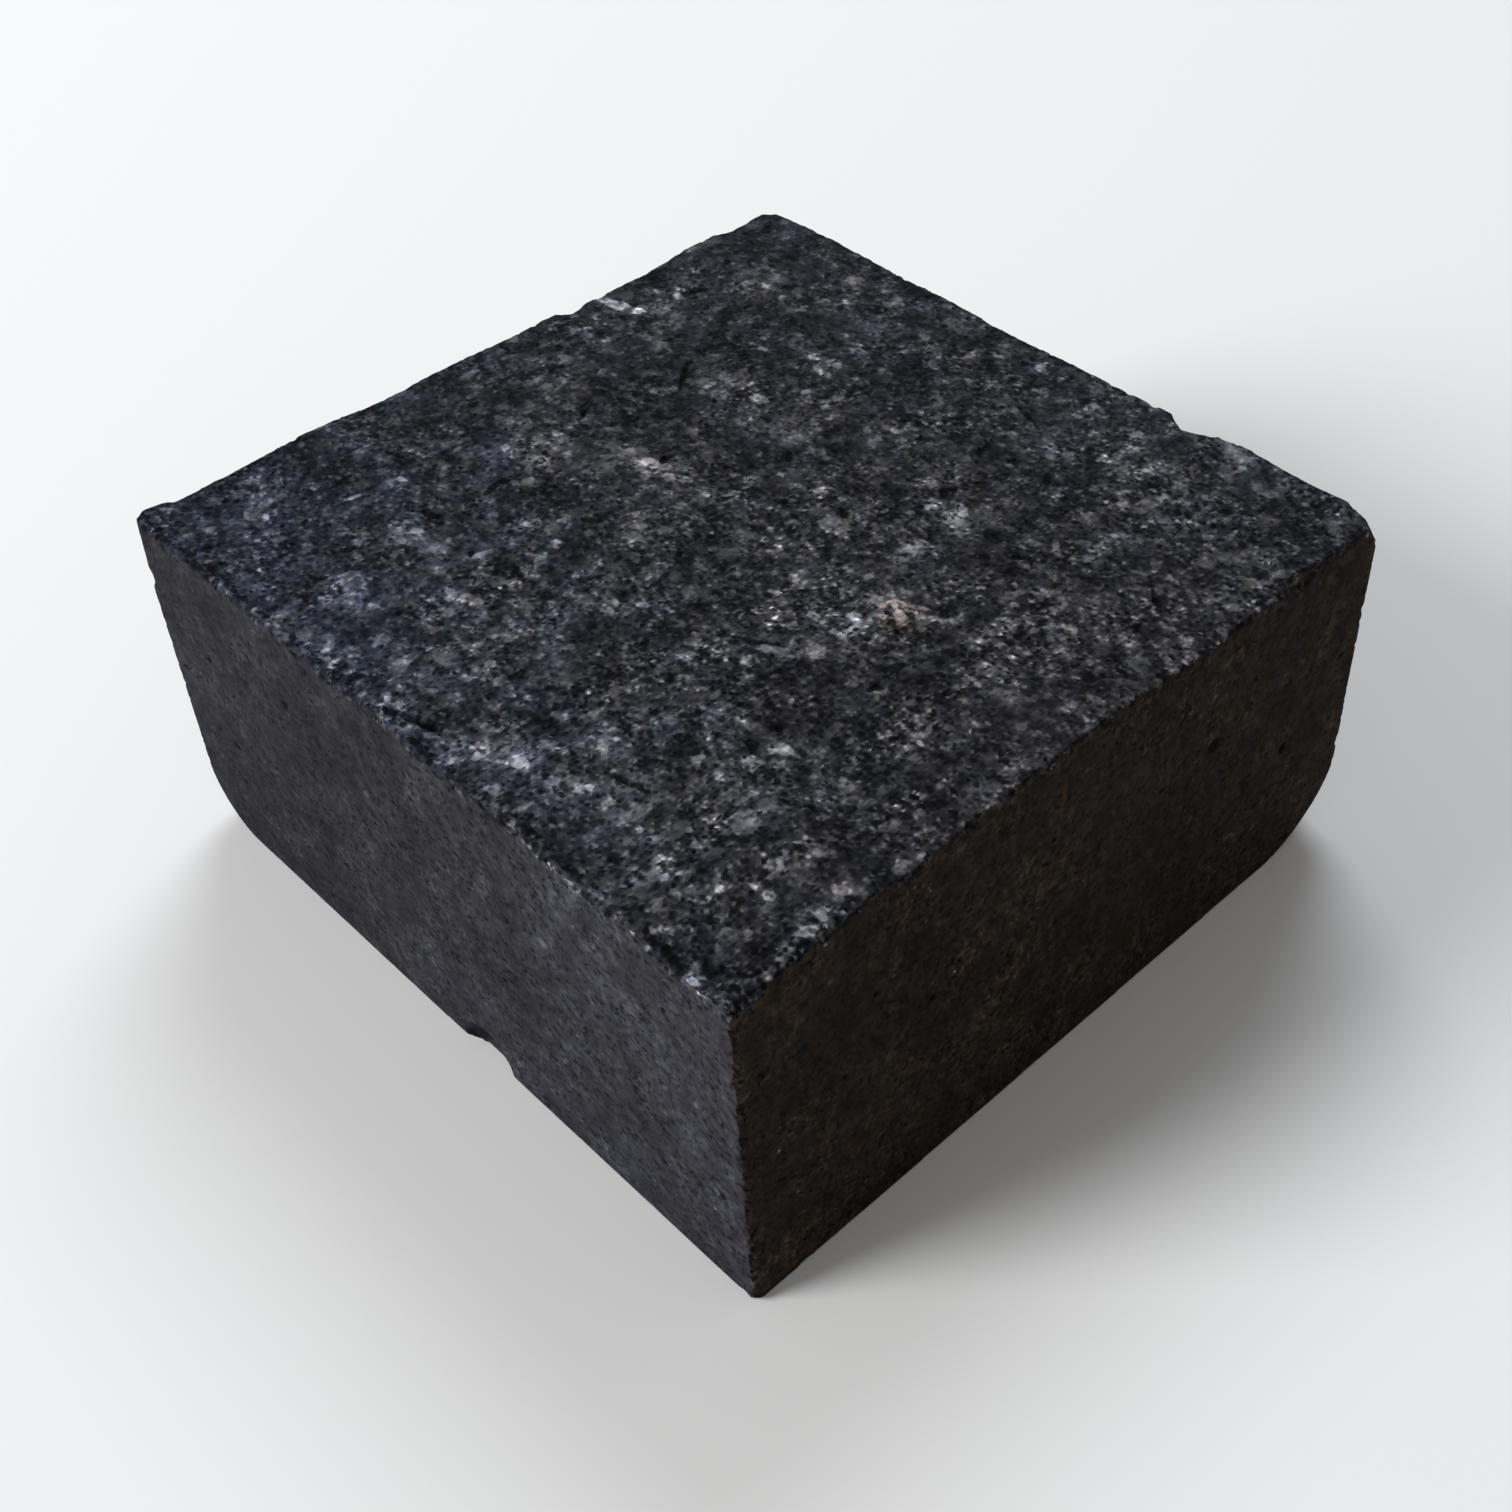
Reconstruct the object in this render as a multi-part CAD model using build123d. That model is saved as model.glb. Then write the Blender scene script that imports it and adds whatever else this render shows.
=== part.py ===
from build123d import *
import math
import os

# Basalt cobblestone (paving sett), one piece of stone.
# Millimetres, +Z up. The stone lies on its sawn bed; the origin is the middle
# of the bed's bounding box, at the bed. The -Y side and the +X side meet in
# the sharp front upright edge. The four sides and the bed are sawn flat, the
# top is the rough weathered tread face.

# ---------------------------------------------------------------- dimensions
# Corners of the sawn block: F front (+X-Y), R right (+X+Y), B back (-X+Y),
# L left (-X-Y). The sides lean by a few tenths of a millimetre.
FOOT_F = (52.66, -50.20)      # corner at the bed
FOOT_R = (51.16, 50.26)
FOOT_B = (-51.07, 50.80)
FOOT_L = (-52.10, -50.62)
HEAD_F = (52.06, -50.21)      # the same corner at the tread face
HEAD_R = (51.16, 50.40)
HEAD_B = (-51.08, 50.67)
HEAD_L = (-52.08, -50.66)
HEIGHT_F = 47.91              # height of the tread face at each corner
HEIGHT_R = 47.22
HEIGHT_B = 47.50
HEIGHT_L = 48.21

ARRIS_UPRIGHT = 0.30          # rounding of the upright edges
ARRIS_FRONT = 0.20            # rounding of the sharper front upright edge
ARRIS_BED = 0.25              # rounding of the edges round the bed

# Waves of the tread face along its four edges, as heights above the straight
# line from corner to corner, at equal steps.
WAVE_LEFT = (0.05, -0.32, -0.58, -0.42, -0.12, 0.08, -0.18, -0.48,
             -0.24, -0.07, -0.16, -0.22, -0.08, -0.02, -0.26, -0.40,
             -0.16, 0.39, 0.29, -0.04, -0.05)   # on the -X side, from L to B
WAVE_BACK = (-0.05, 0.41, 0.50, 0.41, 0.19, 0.02, -0.00, 0.01,
             -0.24, -0.45, -0.37, -0.24, -0.34, -0.38, -0.20, 0.04,
             -0.03, -0.32, -0.43, -0.56, -0.65)   # on the +Y side, from B to R
WAVE_NEAR = (0.05, 0.00, 0.02, 0.15, 0.10, 0.13, 0.10, -0.20, -0.10, 0.25,
             0.10, -0.60, -0.40, 0.50, 0.30, -0.25, -0.50, -0.15, -0.40, -0.75,
             -0.50)           # on the -Y side, from L to F
WAVE_RIGHT = (-0.50, -0.60, -0.10, 0.40, 0.50, 0.10, 0.30, 0.40, 0.65, 0.80,
              0.85, 0.80, 0.10, -0.05, -0.30, -0.25, -0.50, -0.25, -0.10, -0.50,
              -0.65)          # on the +X side, from F to R
# Gentle hollows and swells inside the tread face, rows from -Y to +Y and
# columns from -X to +X, zero on the edges.
WAVE_INNER = (
    (0.00, 0.00, 0.00, 0.00, 0.00, 0.00, 0.00, 0.00),
    (0.00, -0.22, 0.18, -0.10, 0.30, -0.28, 0.12, 0.00),
    (0.00, 0.26, -0.34, 0.22, -0.16, 0.34, -0.20, 0.00),
    (0.00, -0.12, 0.36, 0.30, -0.32, 0.10, 0.28, 0.00),
    (0.00, 0.32, -0.18, -0.36, 0.26, 0.38, -0.24, 0.00),
    (0.00, -0.30, 0.24, 0.12, -0.22, -0.34, 0.20, 0.00),
    (0.00, 0.14, -0.26, 0.20, 0.16, -0.12, -0.18, 0.00),
    (0.00, 0.00, 0.00, 0.00, 0.00, 0.00, 0.00, 0.00),
)
TREAD_RISE = 0.10             # the whole tread face above its mean corners
TREAD_STEPS = 20              # steps of the surface's grid along each edge
TREAD_MARGIN = 2              # further steps past the outline
TREAD_CUT = 30.0              # height of the cutting block above the tread

# Worn-off lower corners: quarter ellipses on the side that shows, running out
# of the stone as they go back.
WORN_L_ACROSS = 9.5           # left corner, along the bed on the -Y side
WORN_L_UP = 9.5               # and up the -Y side
WORN_R_ACROSS = 14.5          # right corner, along the bed on the +X side
WORN_R_UP = 11.5
WORN_RUNOUT = 0.30            # how fast each one leaves the stone
WORN_DEPTH = 45.0

# Chips as shallow ellipsoids: centre (x, y, z), half-axes, turn about z.
CHIPS = (
    # bed edge of the -Y side, 9 mm long, 5 mm high, 1.1 mm deep at the bed
    ((7.0, -54.0, -0.5), (7.0, 4.8, 8.4), -4.0),
    # notch in the upper -X edge near the left corner
    ((-53.6, -44.3, 50.2), (3.7, 3.4, 3.2), 8.0),
    # notch in the upper -X edge, behind the middle
    ((-54.2, 15.2, 50.2), (5.2, 4.5, 4.2), -6.0),
    # shallower bite running on from it
    ((-54.0, 19.7, 49.7), (4.3, 3.6, 3.4), 0.0),
    # notch in the upper +Y edge, towards the right corner
    ((24.0, 53.4, 48.7), (4.6, 5.5, 4.2), 14.0),
    # smaller bite beside it
    ((28.8, 53.5, 49.2), (4.2, 4.4, 3.4), 0.0),
    # nick in the left upright edge
    ((-54.0, -51.6, 39.8), (3.2, 2.6, 2.6), 0.0),
    # break at the front upper corner, on the +X side
    ((54.9, -47.6, 49.3), (3.9, 5.2, 4.6), -4.0),
    # bite in the bed edge of the +X side near the front corner
    ((54.7, -42.9, -1.25), (3.0, 3.2, 2.4), 0.0),
    # hidden sides: a bite in the bed edge of the -X side
    ((-54.3, 22.0, -1.8), (4.4, 6.4, 5.0), 0.0),
    # hidden sides: a bite in the bed edge of the +Y side
    ((-18.0, 53.4, -1.9), (5.6, 4.2, 5.0), 0.0),
)

# Flat breaks at corners: a point on the break and its outward direction.
BREAKS = (
    # right upper corner, worn back about 2 mm
    ((49.75, 48.95, 46.30), (1.0, 1.15, 1.0)),
    # left upper corner, tip worn under 1 mm down to the nick
    ((-51.58, -50.24, 44.0), (-1.0, -0.86, 0.10)),
    # front lower corner, rubbed under 1 mm
    ((52.35, -49.85, 0.42), (1.0, -1.0, -1.1)),
    # back upper corner
    ((-50.65, 50.25, 47.30), (-1.0, 1.0, 1.2)),
    # back lower corner
    ((-50.35, 50.05, 0.85), (-1.0, 1.0, -1.1)),
)


# ------------------------------------------------------------------ helpers
def lerp(a, b, t):
    return a + (b - a) * t


def along(row, t):
    """Value at t (0..1) of an equally stepped row, held at its ends."""
    s = min(max(t, 0.0), 1.0) * (len(row) - 1)
    i = min(int(s), len(row) - 2)
    k = s - i
    k = k * k * (3.0 - 2.0 * k)
    return lerp(row[i], row[i + 1], k)


def inner(u, v):
    """Inner waves at (u, v), each 0..1 across the tread face."""
    rows = [along(row, u) for row in WAVE_INNER]
    return along(rows, v)


def tread_height(u, v):
    """Height of the tread face at (u, v), u from -X to +X, v from -Y to +Y."""
    uc = min(max(u, 0.0), 1.0)
    vc = min(max(v, 0.0), 1.0)
    flat = lerp(lerp(HEIGHT_L, HEIGHT_F, uc), lerp(HEIGHT_B, HEIGHT_R, uc), vc)
    near = along(WAVE_NEAR, uc)
    back = along(WAVE_BACK, uc)
    left = along(WAVE_LEFT, vc)
    right = along(WAVE_RIGHT, vc)
    # each edge keeps its own wave, which fades to nothing a third of the way in
    reach = 0.34

    def fade(t):
        t = min(t / reach, 1.0)
        return (1.0 - t) * (1.0 - t) * (1.0 + 2.0 * t)

    near_w, back_w = fade(vc), fade(1.0 - vc)
    left_w, right_w = fade(uc), fade(1.0 - uc)
    waves = near_w * near + back_w * back + left_w * left + right_w * right
    waves -= left_w * near_w * WAVE_LEFT[0] + right_w * near_w * WAVE_NEAR[-1]
    waves -= left_w * back_w * WAVE_BACK[0] + right_w * back_w * WAVE_BACK[-1]
    return flat + waves + inner(uc, vc) + TREAD_RISE


def tread_point(u, v):
    """Point of the tread surface, also a little past the outline."""
    x = lerp(lerp(HEAD_L[0], HEAD_F[0], u), lerp(HEAD_B[0], HEAD_R[0], u), v)
    y = lerp(lerp(HEAD_L[1], HEAD_F[1], u), lerp(HEAD_B[1], HEAD_R[1], u), v)
    return Vector(x, y, tread_height(u, v))


def unit(v):
    n = math.sqrt(sum(c * c for c in v))
    return tuple(c / n for c in v)


# ------------------------------------------------------------- sawn block
def lean(foot, head, height, z):
    """Corner of the block at height z, along its leaning upright edge."""
    t = z / height
    return (lerp(foot[0], head[0], t), lerp(foot[1], head[1], t), z)


ROUGH_TOP = 54.0              # the block before the tread face is cut
corner_data = ((FOOT_F, HEAD_F, HEIGHT_F), (FOOT_R, HEAD_R, HEIGHT_R),
               (FOOT_B, HEAD_B, HEIGHT_B), (FOOT_L, HEAD_L, HEIGHT_L))
low = [lean(f, h, z, 0.0) for f, h, z in corner_data]
high = [lean(f, h, z, ROUGH_TOP) for f, h, z in corner_data]

# Each side is one plane through its two bed corners and the middle of its
# upper edge, so the block is cut from a larger one by four planes.
stone = Pos(0, 0, ROUGH_TOP / 2) * Box(140, 140, ROUGH_TOP)
for i in range(4):
    j = (i + 1) % 4
    a, b = Vector(*low[i]), Vector(*low[j])
    c = (Vector(*high[i]) + Vector(*high[j])) * 0.5
    normal = (b - a).cross(c - a).normalized()
    middle = (a + b) * 0.5
    if normal.dot(Vector(middle.X, middle.Y, 0)) < 0:
        normal = normal * -1.0
    side = Plane(origin=a, z_dir=normal)
    stone = split(stone, bisect_by=side, keep=Keep.BOTTOM)
stone = stone.solid()


def upright(e):
    d = e @ 1 - e @ 0
    return abs(d.Z) > 40


front_edge = [e for e in stone.edges() if upright(e)
              and (e @ 0.5).X > 0 and (e @ 0.5).Y < 0]
stone = fillet(front_edge, ARRIS_FRONT).solid()
other_edges = [e for e in stone.edges() if upright(e)
               and not ((e @ 0.5).X > 0 and (e @ 0.5).Y < 0)]
stone = fillet(other_edges, ARRIS_UPRIGHT).solid()
bed = stone.faces().sort_by(Axis.Z)[0]
stone = fillet(bed.edges(), ARRIS_BED).solid()

# ------------------------------------------------------------- tread face
n = TREAD_STEPS
grid = [[tread_point(i / n, j / n)
         for j in range(-TREAD_MARGIN, n + TREAD_MARGIN + 1)]
        for i in range(-TREAD_MARGIN, n + TREAD_MARGIN + 1)]
tread = Face.make_surface_from_array_of_points(grid)
above = extrude(tread, amount=TREAD_CUT, dir=(0, 0, 1))
stone = (stone - above).solid()

# ---------------------------------------------------- worn lower corners
# Left lower corner: the profile lies in the -Y side, in x and z.
arc_l = [Vector(FOOT_L[0] - 4, FOOT_L[1] - 6, -4)]
steps = 16
for k in range(steps + 1):
    a = math.pi / 2 * k / steps
    arc_l.append(Vector(FOOT_L[0] + WORN_L_ACROSS * (1 - math.cos(a)),
                        FOOT_L[1] - 6,
                        WORN_L_UP * (1 - math.sin(a))))
curve_l = Spline(*arc_l[1:])
start_l = Vector(FOOT_L[0] - 4, FOOT_L[1] - 6, WORN_L_UP + 0.4)
end_l = Vector(FOOT_L[0] + WORN_L_ACROSS + 0.4, FOOT_L[1] - 6, -4)
wire_l = Wire([curve_l,
               Line(curve_l @ 1, end_l), Line(end_l, arc_l[0]),
               Line(arc_l[0], start_l), Line(start_l, curve_l @ 0)])
run_l = Vector(*unit((-WORN_RUNOUT, 1.0, -WORN_RUNOUT))) * WORN_DEPTH
worn_l = Solid.extrude(Face(wire_l), run_l)
# moved so that the profile has its full size where it meets the side
shift_l = Vector(*unit((-WORN_RUNOUT, 1.0, -WORN_RUNOUT)))
shift_l = shift_l * (-6.0 / shift_l.Y)
worn_l = Pos(shift_l.X, 0, shift_l.Z) * worn_l

# Right lower corner: the profile lies in the +X side, in y and z.
arc_r = [Vector(FOOT_R[0] + 6, FOOT_R[1] + 4, -4)]
for k in range(steps + 1):
    a = math.pi / 2 * k / steps
    arc_r.append(Vector(FOOT_R[0] + 6,
                        FOOT_R[1] - WORN_R_ACROSS * (1 - math.cos(a)),
                        WORN_R_UP * (1 - math.sin(a))))
curve_r = Spline(*arc_r[1:])
start_r = Vector(FOOT_R[0] + 6, FOOT_R[1] + 4, WORN_R_UP + 0.4)
end_r = Vector(FOOT_R[0] + 6, FOOT_R[1] - WORN_R_ACROSS - 0.4, -4)
wire_r = Wire([curve_r,
               Line(curve_r @ 1, end_r), Line(end_r, arc_r[0]),
               Line(arc_r[0], start_r), Line(start_r, curve_r @ 0)])
run_r = Vector(*unit((-1.0, WORN_RUNOUT, -WORN_RUNOUT))) * WORN_DEPTH
worn_r = Solid.extrude(Face(wire_r), run_r)
shift_r = Vector(*unit((-1.0, WORN_RUNOUT, -WORN_RUNOUT)))
shift_r = shift_r * (6.0 / shift_r.X)
worn_r = Pos(0, shift_r.Y, shift_r.Z) * worn_r

stone = (stone - worn_l).solid()
stone = (stone - worn_r).solid()

# ------------------------------------------------------- breaks and chips
for point, out in BREAKS:
    cut = Plane(origin=point, z_dir=unit(out))
    stone = split(stone, bisect_by=cut, keep=Keep.BOTTOM).solid()

for centre, half, turn in CHIPS:
    ball = Sphere(1.0).solid()
    bite = ball.transform_geometry(Matrix([[half[0], 0, 0, 0],
                                           [0, half[1], 0, 0],
                                           [0, 0, half[2], 0]]))
    bite = Pos(*centre) * Rot(0, 0, turn) * bite
    stone = (stone - bite).solid()

# ----------------------------------------------------------- place, write
box = stone.bounding_box()
shift = (-(box.min.X + box.max.X) / 2, -(box.min.Y + box.max.Y) / 2, -box.min.Z)
stone = Pos(*shift) * stone
cobblestone = stone

os.makedirs("parts", exist_ok=True)
export_step(cobblestone, "parts/cobblestone.step")
box = cobblestone.bounding_box()
print("shift", [round(c, 4) for c in shift])
print("size", round(box.size.X, 3), round(box.size.Y, 3), round(box.size.Z, 3),
      "volume ml", round(cobblestone.volume / 1000, 2),
      "valid", cobblestone.is_valid)
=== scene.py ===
import math
import time

import bpy
import numpy as np
from mathutils import Matrix, Vector


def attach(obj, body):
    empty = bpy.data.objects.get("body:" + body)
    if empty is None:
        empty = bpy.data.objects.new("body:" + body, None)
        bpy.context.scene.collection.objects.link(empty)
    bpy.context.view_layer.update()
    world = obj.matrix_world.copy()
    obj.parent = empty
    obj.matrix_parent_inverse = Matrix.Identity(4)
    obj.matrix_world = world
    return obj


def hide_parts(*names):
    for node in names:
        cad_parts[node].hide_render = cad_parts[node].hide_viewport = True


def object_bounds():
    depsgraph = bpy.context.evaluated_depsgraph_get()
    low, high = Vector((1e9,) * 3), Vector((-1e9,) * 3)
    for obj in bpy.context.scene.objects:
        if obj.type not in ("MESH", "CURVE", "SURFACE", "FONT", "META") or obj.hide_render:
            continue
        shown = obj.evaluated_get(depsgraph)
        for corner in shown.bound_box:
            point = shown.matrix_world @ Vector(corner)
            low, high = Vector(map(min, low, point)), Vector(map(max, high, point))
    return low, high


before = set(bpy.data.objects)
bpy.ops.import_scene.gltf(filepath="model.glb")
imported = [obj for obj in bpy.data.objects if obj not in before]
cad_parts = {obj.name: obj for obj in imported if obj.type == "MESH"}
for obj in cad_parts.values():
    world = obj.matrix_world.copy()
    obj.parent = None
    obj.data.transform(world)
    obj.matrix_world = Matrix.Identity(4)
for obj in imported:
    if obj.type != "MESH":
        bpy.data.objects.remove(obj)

START = time.time()
cad_low, cad_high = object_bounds()

MM = 0.001


def note(words):
    print("[scene] %6.1f s  %s" % (time.time() - START, words))


# --------------------------------------------------------------------------
# Noise, in numpy. All of it depends only on position and a fixed seed.
# --------------------------------------------------------------------------
def scramble(ix, iy, iz, seed):
    h = (ix.astype(np.uint32) * np.uint32(374761393)
         + iy.astype(np.uint32) * np.uint32(668265263)
         + iz.astype(np.uint32) * np.uint32(2147483647)
         + np.uint32((seed * 1274126177 + 12345) & 0xFFFFFFFF))
    h ^= h >> np.uint32(13)
    h *= np.uint32(1274126177)
    h ^= h >> np.uint32(16)
    h *= np.uint32(2246822519)
    h ^= h >> np.uint32(15)
    return h


_dirs = np.random.default_rng(5).normal(size=(256, 3))
_dirs = (_dirs / np.linalg.norm(_dirs, axis=1)[:, None]).astype(np.float32)


def perlin(p, size, seed):
    """Gradient noise about -1..1, with cells of that size in mm."""
    q = p / size
    i = np.floor(q).astype(np.int64)
    f = (q - i).astype(np.float32)
    u = f * f * f * (f * (f * 6 - 15) + 10)
    out = np.zeros(len(p), np.float32)
    for dx in (0, 1):
        wx = u[:, 0] if dx else 1 - u[:, 0]
        for dy in (0, 1):
            wy = u[:, 1] if dy else 1 - u[:, 1]
            for dz in (0, 1):
                wz = u[:, 2] if dz else 1 - u[:, 2]
                g = _dirs[scramble(i[:, 0] + dx, i[:, 1] + dy, i[:, 2] + dz, seed)
                          & np.uint32(255)]
                d = (g[:, 0] * (f[:, 0] - dx) + g[:, 1] * (f[:, 1] - dy)
                     + g[:, 2] * (f[:, 2] - dz))
                out += wx * wy * wz * d
    return out * 1.6


def fbm(p, size, octaves, seed, keep=0.5):
    out, amp, total = 0.0, 1.0, 0.0
    for k in range(octaves):
        out = out + amp * perlin(p, size / 2 ** k, seed + 17 * k)
        total += amp * amp
        amp *= keep
    return out / math.sqrt(total)


def smooth(lo, hi, x):
    t = np.clip((x - lo) / (hi - lo), 0.0, 1.0)
    return t * t * (3 - 2 * t)


# --------------------------------------------------------------------------
# The stone's skin: the CAD solid, remeshed finely, then weathered.
# --------------------------------------------------------------------------
# Working units here are millimetres. The skin goes back to metres at the end.
VOXEL = 0.25
TRIANGLES = 196000

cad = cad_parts["cobblestone"]


def remeshed(source):
    me = source.data.copy()
    me.transform(Matrix.Scale(1000.0, 4))
    ob = bpy.data.objects.new("work", me)
    bpy.context.scene.collection.objects.link(ob)
    mod = ob.modifiers.new("remesh", "REMESH")
    mod.mode = "VOXEL"
    mod.voxel_size = VOXEL
    mod.adaptivity = 0.0
    dg = bpy.context.evaluated_depsgraph_get()
    fine = bpy.data.meshes.new_from_object(ob.evaluated_get(dg))
    bpy.data.objects.remove(ob)
    bpy.data.meshes.remove(me)
    return fine


def read(me):
    n = len(me.vertices)
    co = np.empty(n * 3, np.float32)
    me.vertices.foreach_get("co", co)
    no = np.empty(n * 3, np.float32)
    me.vertices.foreach_get("normal", no)
    return co.reshape(-1, 3).astype(np.float64), no.reshape(-1, 3).astype(np.float64)


def write(me, co):
    me.vertices.foreach_set("co", np.ascontiguousarray(co, np.float32).ravel())
    me.update()


me = remeshed(cad)
co, no = read(me)
note("remeshed: %d points, %d faces" % (len(co), len(me.polygons)))

# The solid's own planes, found from its mesh: each side's mean outward
# direction and offset.
low_mm, high_mm = np.array(cad_low) * 1000, np.array(cad_high) * 1000


def side_plane(axis, sign):
    want = np.zeros(3)
    want[axis] = sign
    pick = (no @ want > 0.999) & (co[:, 2] > 10) & (co[:, 2] < 40)
    c = co[pick].mean(0)
    q = co[pick] - c
    n = np.linalg.svd(q[:: max(1, len(q) // 4000)], full_matrices=False)[2][2]
    n = n * np.sign(n @ want)
    return n, float(n @ c)


SIDES = {"near": side_plane(1, -1), "right": side_plane(0, 1),
         "far": side_plane(1, 1), "left": side_plane(0, -1)}


def inward(p, name):
    """Distance from that sawn side, inwards."""
    n, d = SIDES[name]
    return d - p @ n


def top_weight(p, n):
    return smooth(0.35, 0.75, n[:, 2]) * smooth(40, 44, p[:, 2])


def arris_distance(p):
    """Distance to the nearest sawn side."""
    return np.minimum.reduce([inward(p, k) for k in SIDES])


wt = top_weight(co, no)
wb = smooth(0.5, 0.9, -no[:, 2])
ws = np.clip(1 - wt - wb, 0, 1)

before = co[:, 2].copy()

# --- 1. broad relief of the tread face
rng = np.random.default_rng(20261)
top_only = np.where(wt > 0.001)[0]
pt = co[top_only]
swell = (0.085 * fbm(pt, 9.0, 3, 11, 0.6)
         - 0.060 * np.abs(fbm(pt + 3.1, 4.2, 2, 31, 0.5)))
move = np.zeros_like(co)
move[top_only, 2] += swell * wt[top_only]
co = co + move
note("broad relief")


# --- 2. scoops: conchoidal chips and pits as balls pressed into the skin
class Scoops:
    def __init__(self, co, cell=2.0):
        self.cell = cell
        self.key = np.floor(co / cell).astype(np.int64)
        k = self.flat(self.key)
        self.order = np.argsort(k, kind="stable")
        self.sorted = k[self.order]

    def flat(self, key):
        return (key[:, 0] + 512) * 1048576 + (key[:, 1] + 512) * 1024 + key[:, 2] + 512

    def near(self, centre, reach):
        lo = np.floor((centre - reach) / self.cell).astype(int)
        hi = np.floor((centre + reach) / self.cell).astype(int)
        out = []
        for x in range(lo[0], hi[0] + 1):
            for y in range(lo[1], hi[1] + 1):
                base = (x + 512) * 1048576 + (y + 512) * 1024 + 512
                a = np.searchsorted(self.sorted, base + lo[2])
                b = np.searchsorted(self.sorted, base + hi[2] + 1)
                if b > a:
                    out.append(self.order[a:b])
        return np.concatenate(out) if out else np.empty(0, np.int64)


grid = Scoops(co)


def press(centre, radius, squash=None, roughness=0.0, seed=1):
    """Points inside the ball move out to its surface, away from its centre.
    squash is a 3x3 matrix that turns the ball into a long or flat one."""
    centre = np.asarray(centre, float)
    reach = radius * 1.15 if squash is None else radius * 1.15 * np.abs(squash).sum(0).max()
    ids = grid.near(centre, reach + 0.6)
    if not len(ids):
        return
    v = co[ids] - centre
    w = v if squash is None else v @ np.linalg.inv(squash)
    r = np.linalg.norm(w, axis=1)
    limit = radius
    if roughness:
        limit = radius * (1 + roughness * perlin(co[ids] * 1.0, 0.9, seed))
    inside = (r < limit) & (r > 1e-6)
    if not inside.any():
        return
    k = (limit[inside] if roughness else limit) / r[inside]
    co[ids[inside]] = centre + v[inside] * k[:, None]


def cap(width, depth):
    """Ball radius for a dish of that half-width and depth."""
    return (width * width + depth * depth) / (2 * depth)


def top_height(x, y):
    ids = grid.near(np.array([x, y, 47.8]), 1.2)
    if not len(ids):
        return 47.6
    p = co[ids]
    near = np.hypot(p[:, 0] - x, p[:, 1] - y) < 1.2
    return float(np.percentile(p[near, 2], 85)) if near.any() else 47.6


# shallow flakes all over the tread face
for k in range(1100):
    x = rng.uniform(-51.8, 51.8)
    y = rng.uniform(-50.3, 50.3)
    a = rng.uniform(0.9, 1.6) if rng.random() < 0.6 else rng.uniform(1.6, 3.4)
    d = a * rng.uniform(0.035, 0.075)
    R = cap(a, d)
    z = top_height(x, y)
    tip = rng.normal(0, 0.05, 2)
    press((x + tip[0] * R, y + tip[1] * R, z + R - d), R)
note("flakes")

EDGES = []  # (start, end, outward up-and-out direction)


def corner_point(a, b, z):
    """Where two sawn sides meet, at that height."""
    (n1, d1), (n2, d2) = SIDES[a], SIDES[b]
    m = np.array([n1, n2, [0, 0, 1.0]])
    return np.linalg.solve(m, np.array([d1, d2, z]))


CORNER = {"F": corner_point("near", "right", 47.6), "R": corner_point("right", "far", 47.0),
          "B": corner_point("far", "left", 47.6), "L": corner_point("left", "near", 48.2)}
FOOT = {"F": corner_point("near", "right", 0), "R": corner_point("right", "far", 0),
        "B": corner_point("far", "left", 0), "L": corner_point("left", "near", 0)}


def crumble(a, b, out, count, sizes, depth, seed, tops=True, extra=0.0):
    """Small conchoidal chips all along one edge. out is the outward
    direction, half-way between the two faces that meet there."""
    g = np.random.default_rng(seed)
    out = np.asarray(out, float) / np.linalg.norm(out)
    along = b - a
    length = np.linalg.norm(along)
    for _ in range(count):
        t = g.uniform(0.0, 1.0)
        p = a + along * t
        if tops:
            inner = p - out * 0.8
            p[2] = top_height(inner[0], inner[1])
        w = g.uniform(*sizes) * (0.6 + 0.8 * g.random() ** 3)
        d = w * g.uniform(*depth) + extra
        R = cap(w, d)
        tilt = g.normal(0, 0.32, 3)
        o = out + tilt
        o /= np.linalg.norm(o)
        # the sharp edge stands 0 above itself along out, so the ball's
        # surface passes d below it
        press(p + o * (R - d), R, roughness=0.03, seed=seed)


TOP_EDGES = (("L", "F", (0, -1, 1), 220, (0.28, 0.85), (0.24, 0.50)),
             ("F", "R", (1, 0, 1), 190, (0.28, 0.85), (0.24, 0.48)),
             ("R", "B", (0, 1, 1), 110, (0.22, 0.50), (0.18, 0.36)),
             ("B", "L", (-1, 0, 1), 110, (0.22, 0.50), (0.18, 0.36)))
for i, (a, b, out, count, sizes, depth) in enumerate(TOP_EDGES):
    crumble(CORNER[a], CORNER[b], out, count, sizes, depth, 100 + i)
crumble(CORNER["L"], CORNER["F"], (0, -1, 1), 46, (0.75, 1.5), (0.18, 0.32), 120)
crumble(CORNER["F"], CORNER["R"], (1, 0, 1), 40, (0.75, 1.5), (0.18, 0.34), 121)
for i, (k, count) in enumerate((("F", 75), ("R", 36), ("B", 36), ("L", 36))):
    side = np.array([CORNER[k][0], CORNER[k][1], 0.0])
    crumble(FOOT[k], CORNER[k], side, count, (0.34, 0.80), (0.22, 0.50), 140 + i, False,
            0.22 if k == "F" else 0.12)
for i, (a, b, out) in enumerate((("L", "F", (0, -1, -1)), ("F", "R", (1, 0, -1)),
                                 ("R", "B", (0, 1, -1)), ("B", "L", (-1, 0, -1)))):
    crumble(FOOT[a], FOOT[b], out, 45, (0.25, 0.6), (0.2, 0.4), 160 + i, False)
note("crumbled edges")


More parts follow.
